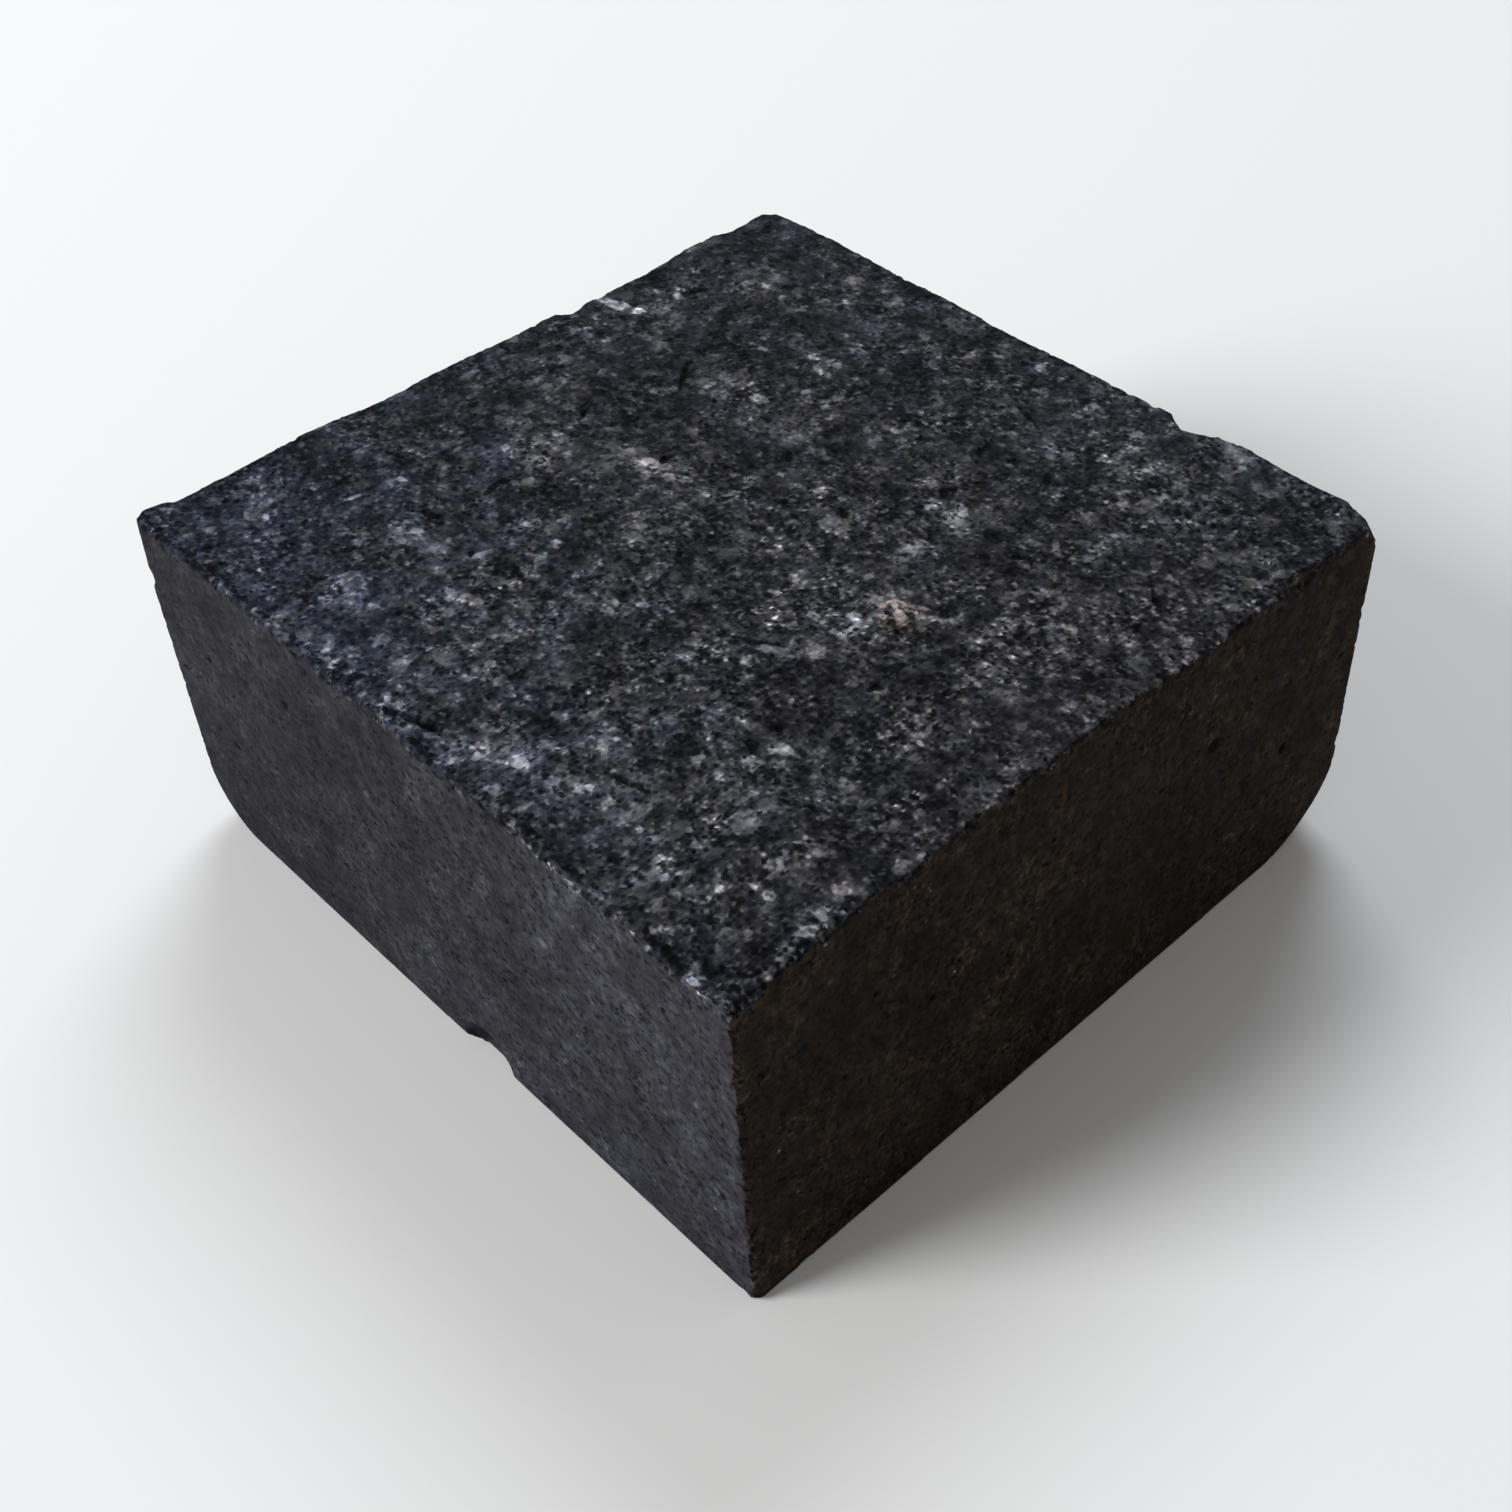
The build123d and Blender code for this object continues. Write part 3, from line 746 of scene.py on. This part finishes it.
for (x, y), t in zip(spots, thick):
    if g.random() > 0.22 * t:
        continue
    a = g.uniform(0.65, 1.45)
    put(x, y, a, a * g.uniform(0.55, 0.9), g.uniform(0, 180), g.uniform(0.40, 0.80),
        g.choice([0.0, 0.0, 0.0, 0.2]))
POWER = {PALE: (1.30, 0.05), WHITE: (1.65, 0.0), BEIGE: (1.25, 0.45), RUST: (1.25, 1.0),
         CHALK: (2.30, 0.0)}
for x, y, a, b, turn, kind in MARKS:
    put(x, y, a, b, turn, *POWER[kind])

grid3 = Scoops(co)


def put_side(name, s, z, a, b, turn, power, warmth=0.0):
    """A mark at s along a sawn side (x or y as it lies) and height z."""
    n, d, flat_way, up = frame_of(name)
    axis = 0 if name in ("near", "far") else 1
    c = np.zeros(3)
    c[axis], c[2] = s, z
    c[1 - axis] = (d - n[axis] * s - n[2] * z) / n[1 - axis]
    ids = grid3.near(c, 2.0 * a + 0.3)
    if not len(ids):
        return
    v = co[ids] - c
    ct, st = math.cos(math.radians(turn)), math.sin(math.radians(turn))
    p1, p2 = v @ flat_way, v @ up
    f = 1 - np.hypot((p1 * ct + p2 * st) / a, (-p1 * st + p2 * ct) / b)
    f -= np.maximum(0.0, np.abs(v @ n) - 0.8)
    better = f > fleck[ids]
    hit = ids[better]
    fleck[hit] = f[better]
    gain[hit] = power
    warm[hit] = warmth


SIDE_MARKS = (  # side, along, height, half-length, half-width, turn, power
    ("near", -36.0, 34.0, 1.0, 0.5, 20, 0.75), ("near", -8.5, 32.0, 1.3, 0.6, -30, 0.70),
    ("near", -5.8, 7.2, 1.6, 0.5, 80, 0.80), ("near", 13.5, 35.0, 0.9, 0.5, 0, 0.70),
    ("near", 22.5, 33.0, 1.0, 0.6, 30, 0.75), ("near", 40.0, 22.0, 0.9, 0.6, 0, 0.75),
    ("near", 45.5, 28.0, 0.8, 0.5, 60, 0.80), ("near", 45.5, 4.0, 0.9, 0.6, 0, 0.75),
    ("near", -23.5, 35.2, 1.1, 0.4, 20, 0.80), ("near", 51.0, 35.0, 0.5, 0.4, 0, 0.95),
    ("near", 29.0, 40.5, 0.8, 0.5, 0, 0.70), ("near", -44.0, 41.5, 0.9, 0.5, 30, 0.60),
)
for mark in SIDE_MARKS:
    put_side(*mark)
for i, name in enumerate(("near", "right", "far", "left")):
    g = np.random.default_rng(520 + i)
    for _ in range(110):
        a = 0.22 + 0.40 * g.random() ** 2.5
        put_side(name, g.uniform(-50, 50), g.uniform(1, 47), a * g.uniform(1.0, 1.8),
                 a * g.uniform(0.6, 1.0), g.uniform(-40, 40),
                 g.uniform(0.30, 0.70) * (0.6 if i == 1 else 1.0))

# painted shade in the hollows, the same kind of field
painted_shade = np.full(len(co), -1.0)
for x, y, z, r in PAINTED_SHADE_SPOTS:
    c = np.array([x, y, z])
    ids = grid3.near(c, 2.0 * r)
    if len(ids):
        f = 1 - np.linalg.norm(co[ids] - c, axis=1) / r
        painted_shade[ids] = np.maximum(painted_shade[ids], f)



def hill(x, y, wide, axes=(0, 1)):
    """1 at that place, falling off over that many mm."""
    return np.exp(-((co[:, axes[0]] - x) ** 2 + (co[:, axes[1]] - y) ** 2) / (2.0 * wide * wide))


# painted light and shade on the tread face: its position terms and broad hills even out the lamps'
# light, darker to the back left where the back lamp falls
right_part = np.maximum(co[:, 0] - 12, 0)
level = wt * (0.0010 * np.minimum(co[:, 0], 12) - 0.0036 * right_part
              + 0.00006 * right_part * co[:, 1] - 0.0030 * co[:, 1] + 0.05
              + 0.00007 * co[:, 1] ** 2 - 0.16 * hill(-38, 26, 22) + 0.07 * hill(40, 42, 16)
              - 0.13 * hill(44, -38, 16) - 0.05 * hill(38, 0, 14)
              + 0.20 * h12 + 0.24 * h5 + 0.23 * (h2 + 0.2 * (h2 * h2 - 1))
              + 0.47 * mist + 1.2 * relief)
g3 = even(fbm(co, 3.4, 3, 261, 0.6), ~on_top)
level += (1 - wt) * (0.12 * g14 + 0.075 * g5 + 0.12 * g3 + 0.165)
# painted light along the near side: brighter toward its front end (+x) and upper right, darker round
# x -34, z 24, set against the key lamp's fall-off
near_side = smooth(2.5, 0.4, inward(co, "near")) * (1 - wt)
level += near_side * (0.0050 * (co[:, 0] - 10)
                      + 0.00016 * np.maximum(co[:, 0], 0) * (co[:, 2] - 20)
                      - 0.10 * hill(-34, 24, 11, (0, 2)))
right_side = smooth(2.5, 0.4, inward(co, "right")) * (1 - wt)
level += right_side * (0.03 - 0.12 * hill(34, 42, 13, (1, 2)))
density = wt * (0.19 + 0.045 * h5 + 0.03 * h12 + 0.06 * mist) + (1 - wt) * 0.05

# the tread face's tint: a painted reflection of the sky makes it bluer to the front left, over some
# random blue in the stone;
# the right-hand side is painted darker and browner as shade
# painted sky reflection: bluer toward the front left of the tread face
blue_and_sky_reflection = (0.33 + (0.00009 * co[:, 1] - 0.0052) * co[:, 0] - 0.0035 * co[:, 1]
        + 0.00016 * co[:, 1] ** 2)
blue_and_sky_reflection = np.clip(blue_and_sky_reflection + 0.10 * tint_noise - 0.18 * mist, 0, 1)[:, None]
tint_and_painted_light = (1 - blue_and_sky_reflection) * np.array([0.0232, 0.0230, 0.0254]) + blue_and_sky_reflection * np.array([0.0172, 0.0210, 0.0304])
side_blue = np.clip(0.50 + 0.12 * g14 + 0.003 * co[:, 0] - 0.004 * (co[:, 2] - 24), 0, 1)[:, None]
side = ((1 - side_blue) * np.array([0.0252, 0.0247, 0.0285])
        + side_blue * np.array([0.0228, 0.0233, 0.0302]))
# painted shade: the right-hand side gets a darker, browner colour for the shade it stands in
painted_shade_right = (smooth(0.15, 0.6, no[:, 0]) * smooth(2.5, 0.4, inward(co, "right")))[:, None]
side = (1 - painted_shade_right) * side + painted_shade_right * np.array([0.0150, 0.0101, 0.0066])
tint_and_painted_light = wt[:, None] * tint_and_painted_light + (1 - wt[:, None]) * side

# how far below the arris each point of a side is, and how far in from it each
# point of the tread face is
below = np.full(len(co), 9.0)
for name, axis in (("near", 0), ("far", 0), ("right", 1), ("left", 1)):
    ins = inward(co, name)
    spot = np.clip(np.floor((co[:, axis] + 56) / 1.0).astype(int), 0, 111)
    edge = np.full(112, 40.0)
    pick = ins < 0.6
    np.maximum.at(edge, spot[pick], co[pick, 2])
    side_pts = (ins < 1.2) & (wt < 0.9)
    below[side_pts] = np.minimum(below[side_pts], edge[spot[side_pts]] - co[side_pts, 2])
below = np.clip(below, 0, 9) * (1 - wt)
inset = np.clip(inward(co, "near"), 0, 4)
upright = np.hypot(inward(co, "near"), inward(co, "right"))
point_attribute("top", wt)
point_attribute("level", level)
point_attribute("density", density)
point_attribute("fleck", fleck)
point_attribute("gain", gain)
point_attribute("warm", warm)
point_attribute("painted_shade", painted_shade)
point_attribute("inset", inset)
point_attribute("below", below)
point_attribute("upright", np.clip(upright, 0, 5))
# how strong the grain is from place to place, and the bruises on the rims
calm = even(fbm(co + 40.0, 8.0, 2, 271), on_top)
lively = (1.0 - 0.34 * hill(-42, 40, 16) - 0.12 * hill(-40, -12, 14) + 0.24 * hill(14, -12, 13)
          + 0.14 * smooth(10, 45, co[:, 0]))
lively = 1.08 * lively * np.clip(1.0 + 0.17 * calm + 0.12 * mist, 0.6, 1.45)
side_lively = (1.28 + 0.60 * painted_shade_right[:, 0]) * np.clip(1.0 + 0.22 * g5, 0.6, 1.5)
point_attribute("vivid", wt * lively + (1 - wt) * side_lively)
rim = 0.5 + near_side * (0.15 + 0.9 * smooth(-8, 48, co[:, 0]))
point_attribute("rim", rim * (1 - 0.6 * painted_shade_right[:, 0]))
point_colour("tint_and_painted_light", tint_and_painted_light)

# UV map: one island for each of the six faces, laid flat, all at one scale
uv = skin.uv_layers.new(name="OFBake")
dist = np.stack([
    47.75 - centre[:, 2],
    centre[:, 2],
    inward(centre, "near"), inward(centre, "right"),
    inward(centre, "far"), inward(centre, "left")], 1)
fn = np.cross(co[tri[:, 1]] - co[tri[:, 0]], co[tri[:, 2]] - co[tri[:, 0]])
fn /= np.maximum(np.linalg.norm(fn, axis=1), 1e-12)[:, None]
axes = np.array([[0, 0, 1], [0, 0, -1], [0, -1, 0], [1, 0, 0], [0, 1, 0], [-1, 0, 0]], float)
score = dist - 0.6 * (fn @ axes.T)
island = score.argmin(1)
S = 4.70 / 1024.0           # picture widths per mm
P = co[loop_v]
isl = np.repeat(island, 3)
u = np.zeros(n_loops)
v = np.zeros(n_loops)
cells = {  # which two coordinates, and the island's lower left corner (px)
    0: (P[:, 0], P[:, 1], 12, 526), 1: (-P[:, 0], P[:, 1], 12, 20),
    2: (P[:, 0], P[:, 2], 522, 12), 3: (P[:, 1], P[:, 2], 522, 262),
    4: (-P[:, 0], P[:, 2], 522, 512), 5: (-P[:, 1], P[:, 2], 522, 762),
}
for k, (a, b, x0, y0) in cells.items():
    pick = isl == k
    b0 = 0.0 if k > 1 else -51.5
    u[pick] = x0 / 1024.0 + (a[pick] + 52.5) * S
    v[pick] = y0 / 1024.0 + (b[pick] - b0) * S
uv.data.foreach_set("uv", np.stack([u, v], 1).astype(np.float32).ravel())

skin.transform(Matrix.Scale(MM, 4))
skin.polygons.foreach_set("use_smooth", np.ones(n_faces, bool))
skin.update()
stone = bpy.data.objects.new("cobblestone_skin", skin)
bpy.context.scene.collection.objects.link(stone)
note("skin ready")


# --------------------------------------------------------------------------
# Basalt
# --------------------------------------------------------------------------
mat = bpy.data.materials.new("basalt_stone")
mat.use_nodes = True
nt = mat.node_tree
nt.nodes.clear()


def node(kind, **sets):
    n = nt.nodes.new(kind)
    for k, val in sets.items():
        if k in n.inputs:
            n.inputs[k].default_value = val
        else:
            setattr(n, k, val)
    return n


def link(a, b):
    nt.links.new(a, b)


coords = node("ShaderNodeTexCoord")
OBJ = coords.outputs["Object"]


def noise(scale, detail=2.0, rough=0.5, distortion=0.0, shift=None, stretch=None):
    src = OBJ
    if shift is not None or stretch is not None:
        m = node("ShaderNodeMapping")
        if shift is not None:
            m.inputs["Location"].default_value = shift
        if stretch is not None:
            m.inputs["Scale"].default_value = stretch
        link(OBJ, m.inputs["Vector"])
        src = m.outputs["Vector"]
    n = node("ShaderNodeTexNoise", Scale=scale, Detail=detail, Roughness=rough,
             Distortion=distortion)
    link(src, n.inputs["Vector"])
    return n.outputs["Fac"]


def attribute(name, kind="Fac"):
    a = node("ShaderNodeAttribute", attribute_name=name)
    return a.outputs[kind]


def math_(op, a, b=None, c=None, clamp=False):
    n = node("ShaderNodeMath", operation=op, use_clamp=clamp)
    for i, x in enumerate((a, b, c)):
        if x is None:
            continue
        if isinstance(x, (int, float)):
            n.inputs[i].default_value = x
        else:
            link(x, n.inputs[i])
    return n.outputs[0]


def add(a, b):
    return math_("ADD", a, b)


def mul(a, b):
    return math_("MULTIPLY", a, b)


def fit(x, a, b, c=0.0, d=1.0, soft=True):
    n = node("ShaderNodeMapRange", interpolation_type="SMOOTHSTEP" if soft else "LINEAR")
    link(x, n.inputs["Value"])
    n.inputs["From Min"].default_value = a
    n.inputs["From Max"].default_value = b
    n.inputs["To Min"].default_value = c
    n.inputs["To Max"].default_value = d
    return n.outputs["Result"]


def mix(fac, a, b, mode="MIX"):
    n = node("ShaderNodeMix", data_type="RGBA", blend_type=mode)
    if isinstance(fac, (int, float)):
        n.inputs[0].default_value = fac
    else:
        link(fac, n.inputs[0])
    for i, x in ((6, a), (7, b)):
        if isinstance(x, tuple):
            n.inputs[i].default_value = (*x, 1.0)
        else:
            link(x, n.inputs[i])
    return n.outputs[2]


def mix_number(fac, a, b):
    """a where fac is 0, b where it is 1."""
    return math_("MULTIPLY_ADD", fac, b - a, a)


TOP, LEVEL, DENSITY, FLECK, GAIN, WARM, PAINTED_SHADE, INSET, BELOW, UPRIGHT = (
    attribute(k) for k in ("top", "level", "density", "fleck", "gain", "warm", "painted_shade",
                           "inset", "below", "upright"))
VIVID, RIM = attribute("vivid"), attribute("rim")
TINT_AND_PAINTED_LIGHT = attribute("tint_and_painted_light", "Color")


def centred(x, gain):
    return mul(math_("SUBTRACT", x, 0.5), gain)


def crystals(where, scale):
    """Voronoi cells: distance to the cell's point, and two random numbers."""
    v = node("ShaderNodeTexVoronoi", Scale=scale, Randomness=1.0)
    link(where, v.inputs["Vector"])
    c = node("ShaderNodeSeparateColor")
    link(v.outputs["Color"], c.inputs["Color"])
    return v.outputs["Distance"], c.outputs["Red"], c.outputs["Green"]


def grains(dist, chance, density, size, soft=0.14):
    """Grains in some of the cells; density is a number or a socket."""
    radius = math_("MULTIPLY", math_("ADD", chance, math_("SUBTRACT", density, 1.0)), size)
    radius = math_("MINIMUM", radius, 0.50)
    return math_("DIVIDE", math_("SUBTRACT", radius, dist), soft, clamp=True)


n2 = noise(560.0, 1.0, 0.5, 0.0)
n1 = noise(1500.0, 1.5, 0.6, 0.0, shift=(0.9, 0.4, 0.2))
c2, c1 = centred(n2, 1.0), centred(n1, 1.0)
shove = node("ShaderNodeCombineXYZ")
link(mul(c1, 0.0003), shove.inputs[0])
link(mul(c2, 0.0004), shove.inputs[1])
link(math_("MULTIPLY", math_("SUBTRACT", c1, c2), 0.0003), shove.inputs[2])
warp = node("ShaderNodeVectorMath", operation="ADD")
link(OBJ, warp.inputs[0])
link(shove.outputs[0], warp.inputs[1])
d_small, r_small, g_small = crystals(warp.outputs[0], 980.0)
d_tiny, r_tiny, g_tiny = crystals(OBJ, 1800.0)

# the ragged line where the tread's grain ends on the sawn sides
is_top = fit(add(TOP, add(mul(c2, 1.1), mul(c1, 1.1))), 0.42, 0.58)


def round_(dist, reach):
    """1 at a cell's own point, 0 that far from it, with a rounded fall."""
    r = math_("DIVIDE", dist, reach)
    return math_("SUBTRACT", 1.0, mul(r, r), clamp=True)


# brightness on a log scale: broad level per point, then rounded crystals of
# several sizes, pale flecks and dark pores
off = math_("SUBTRACT", 1.0, is_top)
sawn = centred(noise(760.0, 1.5, 0.6, 0.0, shift=(0.3, 0.7, 0.1)), 1.0)
fine = add(mul(mul(c2, is_top), 1.9), mul(mul(sawn, off), 1.15))
fine = add(fine, mul(c1, mix_number(is_top, 0.95, 1.5)))
fine = add(fine, mul(mul(math_("SUBTRACT", r_small, 0.55), round_(d_small, 0.62)),
                     mix_number(is_top, 0.45, 2.5)))
fine = add(fine, mul(mul(mul(math_("SUBTRACT", r_tiny, 0.60), round_(d_tiny, 0.75)),
                         is_top), 3.0))
# the sawn sides are smooth, with ragged tiny dark pits and fainter pale specks
pepper = add(mul(fit(r_tiny, 0.42, 0.06), -0.5), mul(fit(r_tiny, 0.72, 0.98), 0.40))
fine = add(fine, mul(mul(pepper, round_(d_tiny, 0.55)), off))
fine = add(fine, mul(mul(fit(n1, 0.42, 0.29), off), -0.85))
fine = mul(fine, VIVID)
# pale flecks are solid: the grain hardly shows in them
big = math_("DIVIDE", add(FLECK, add(mul(c1, 0.8), 0.02)), 0.24, clamp=True)
fine = mul(fine, math_("SUBTRACT", 1.0, mul(big, 0.6)))
level = add(LEVEL, fine)
small = grains(d_small, r_small, DENSITY, 2.9, 0.16)
level = add(level, mul(small, mul(math_("ADD", g_small, 0.34), mix_number(is_top, 0.25, 0.90))))
pores = grains(d_small, g_small, 0.12, 4.4, 0.16)
level = add(level, mul(pores, mix_number(is_top, -0.25, -1.35)))
halo = math_("DIVIDE", math_("ADD", FLECK, 0.9), 0.9, clamp=True)
level = add(level, mul(halo, mul(GAIN, 0.36)))
level = add(level, mul(big, mul(GAIN, math_("ADD", mul(r_tiny, 0.30), 0.78))))
# painted shade: pits, cracks and the near bed edge's recess are darkened
shade_in_hollows = math_("DIVIDE", add(PAINTED_SHADE, add(mul(c1, 0.9), 0.02)), 0.45, clamp=True)
level = add(level, mul(shade_in_hollows, -1.35))
# bruised grains on the sides' upper rim, a broken painted shadow line on the
# tread's near edge, and nicks down the front upright arris
hang = fit(add(BELOW, mul(c2, 3.0)), 1.5, 0.3)
bruise = mul(mul(fit(r_small, 0.38, 0.70), round_(d_small, 0.72)), fit(n1, 0.40, 0.56))
bruise = mul(mul(bruise, hang), off)
level = add(level, mul(mul(bruise, RIM), 1.7))
gap = mul(fit(r_small, 0.40, 0.18), round_(d_small, 0.75))
level = add(level, mul(mul(mul(gap, hang), off), -0.75))
# painted shadow: a broken dark line along the tread's near edge
painted_shadow_line = math_("ABSOLUTE", math_("SUBTRACT", add(INSET, mul(c1, 1.8)), 0.95))
painted_shadow_line = mul(fit(painted_shadow_line, 0.62, 0.22), fit(add(n2, mul(c1, 0.5)), 0.56, 0.46))
level = add(level, mul(mul(painted_shadow_line, is_top), -1.35))
nick = mul(fit(add(UPRIGHT, mul(c1, 1.0)), 0.75, 0.30), fit(n2, 0.49, 0.42))
level = add(level, mul(mul(nick, off), -1.1))
bright = math_("POWER", 2.718, level)

hue = mix(fit(add(n2, mul(c1, 0.5)), 0.35, 0.65), (0.985, 0.997, 1.015), (1.02, 1.0, 0.99))
base = mix(1.0, TINT_AND_PAINTED_LIGHT, hue, "MULTIPLY")
# pale grains are more neutral than the ground, and flecks whiter still
base = mix(mul(mul(fit(fine, 0.0, 1.1), is_top), 0.70), base, (0.0240, 0.0231, 0.0240))
base = mix(mul(math_("MAXIMUM", big, small), 0.5), base, (0.0230, 0.0230, 0.0240))
base = mix(mul(bruise, 0.8), base, (0.0246, 0.0234, 0.0240))
base = mix(mul(halo, WARM), base, (0.0262, 0.0228, 0.0215))
# dark grain is bluer
base = mix(1.0, base, mix(fit(level, 0.3, -1.6, soft=False), (1.0, 1.0, 1.0), (1.0, 1.0, 1.19)),
           "MULTIPLY")
scaled = node("ShaderNodeVectorMath", operation="SCALE")
link(base, scaled.inputs[0])
link(bright, scaled.inputs["Scale"])
base = scaled.outputs[0]

bsdf = node("ShaderNodeBsdfPrincipled")
bsdf.inputs["Specular IOR Level"].default_value = 0.06
out = node("ShaderNodeOutputMaterial")
link(bsdf.outputs["BSDF"], out.inputs["Surface"])
link(base, bsdf.inputs["Base Color"])
link(fit(n2, 0.3, 0.7, 0.90, 0.68, soft=False), bsdf.inputs["Roughness"])

# the finest relief
bump = node("ShaderNodeBump", Strength=0.8, Distance=0.00022)
link(mul(n1, mix_number(TOP, 0.35, 1.0)), bump.inputs["Height"])
link(bump.outputs["Normal"], bsdf.inputs["Normal"])

skin.materials.clear()
skin.materials.append(mat)
skin.polygons.foreach_set("material_index", np.zeros(n_faces, np.int32))

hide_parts("cobblestone")
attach(stone, "root")

# --------------------------------------------------------------------------
# Floor, light and camera
# --------------------------------------------------------------------------
floor_me = bpy.data.meshes.new("floor")
f = 6.0
floor_me.from_pydata([(-f, -f, 0), (f, -f, 0), (f, f, 0), (-f, f, 0)], [], [(0, 1, 2, 3)])
floor = bpy.data.objects.new("floor", floor_me)
bpy.context.scene.collection.objects.link(floor)
fm = bpy.data.materials.new("floor")
fm.use_nodes = True
fb = fm.node_tree.nodes["Principled BSDF"]
fb.inputs["Base Color"].default_value = (0.86, 0.86, 0.86, 1)
fb.inputs["Roughness"].default_value = 0.9
fb.inputs["Specular IOR Level"].default_value = 0.1
floor_me.materials.append(fm)

world = bpy.data.worlds.new("studio")
world.use_nodes = True
bg = world.node_tree.nodes["Background"]
bg.inputs["Color"].default_value = (1.0, 0.985, 0.97, 1)
bg.inputs["Strength"].default_value = 0.30
bpy.context.scene.world = world


def area(name, at, aim, size, power, colour):
    li = bpy.data.lights.new(name, "AREA")
    li.shape = "DISK"
    li.size = size
    li.energy = power
    li.color = colour
    o = bpy.data.objects.new(name, li)
    o.location = at
    o.rotation_mode = "QUATERNION"
    o.rotation_quaternion = (Vector(aim) - Vector(at)).to_track_quat("-Z", "Y")
    bpy.context.scene.collection.objects.link(o)
    return o


area("key", (-0.75, -1.55, 1.00), (0, 0, 0.02), 0.9, 33.5, (1.0, 1.0, 1.0))
area("back", (-0.90, 1.05, 1.55), (0, 0, 0.02), 1.1, 20.0, (0.90, 0.95, 1.0))

# The camera, solved from the stone's corners and edges in the photograph.
cam_data = bpy.data.cameras.new("camera")
cam = bpy.data.objects.new("camera", cam_data)
bpy.context.scene.collection.objects.link(cam)
right = Vector((0.6764775, 0.73506503, -0.04536072))
down = Vector((0.48286239, -0.489197, -0.72631275))
ahead = Vector((-0.55607743, 0.46943125, -0.68586602))
turn = Matrix((right, -down, -ahead)).transposed()
cam.rotation_mode = "QUATERNION"
cam.rotation_quaternion = turn.to_quaternion()
cam.location = ((141.97 - 0.278) * MM, (-121.01 - 0.083) * MM, 186.13 * MM)
cam_data.sensor_fit = "HORIZONTAL"
cam_data.sensor_width = 36.0
cam_data.lens = 47.858
cam_data.clip_start = 0.01
cam_data.clip_end = 50.0
bpy.context.scene.camera = cam

bpy.context.scene.view_settings.view_transform = "Standard"

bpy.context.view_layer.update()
note("done")
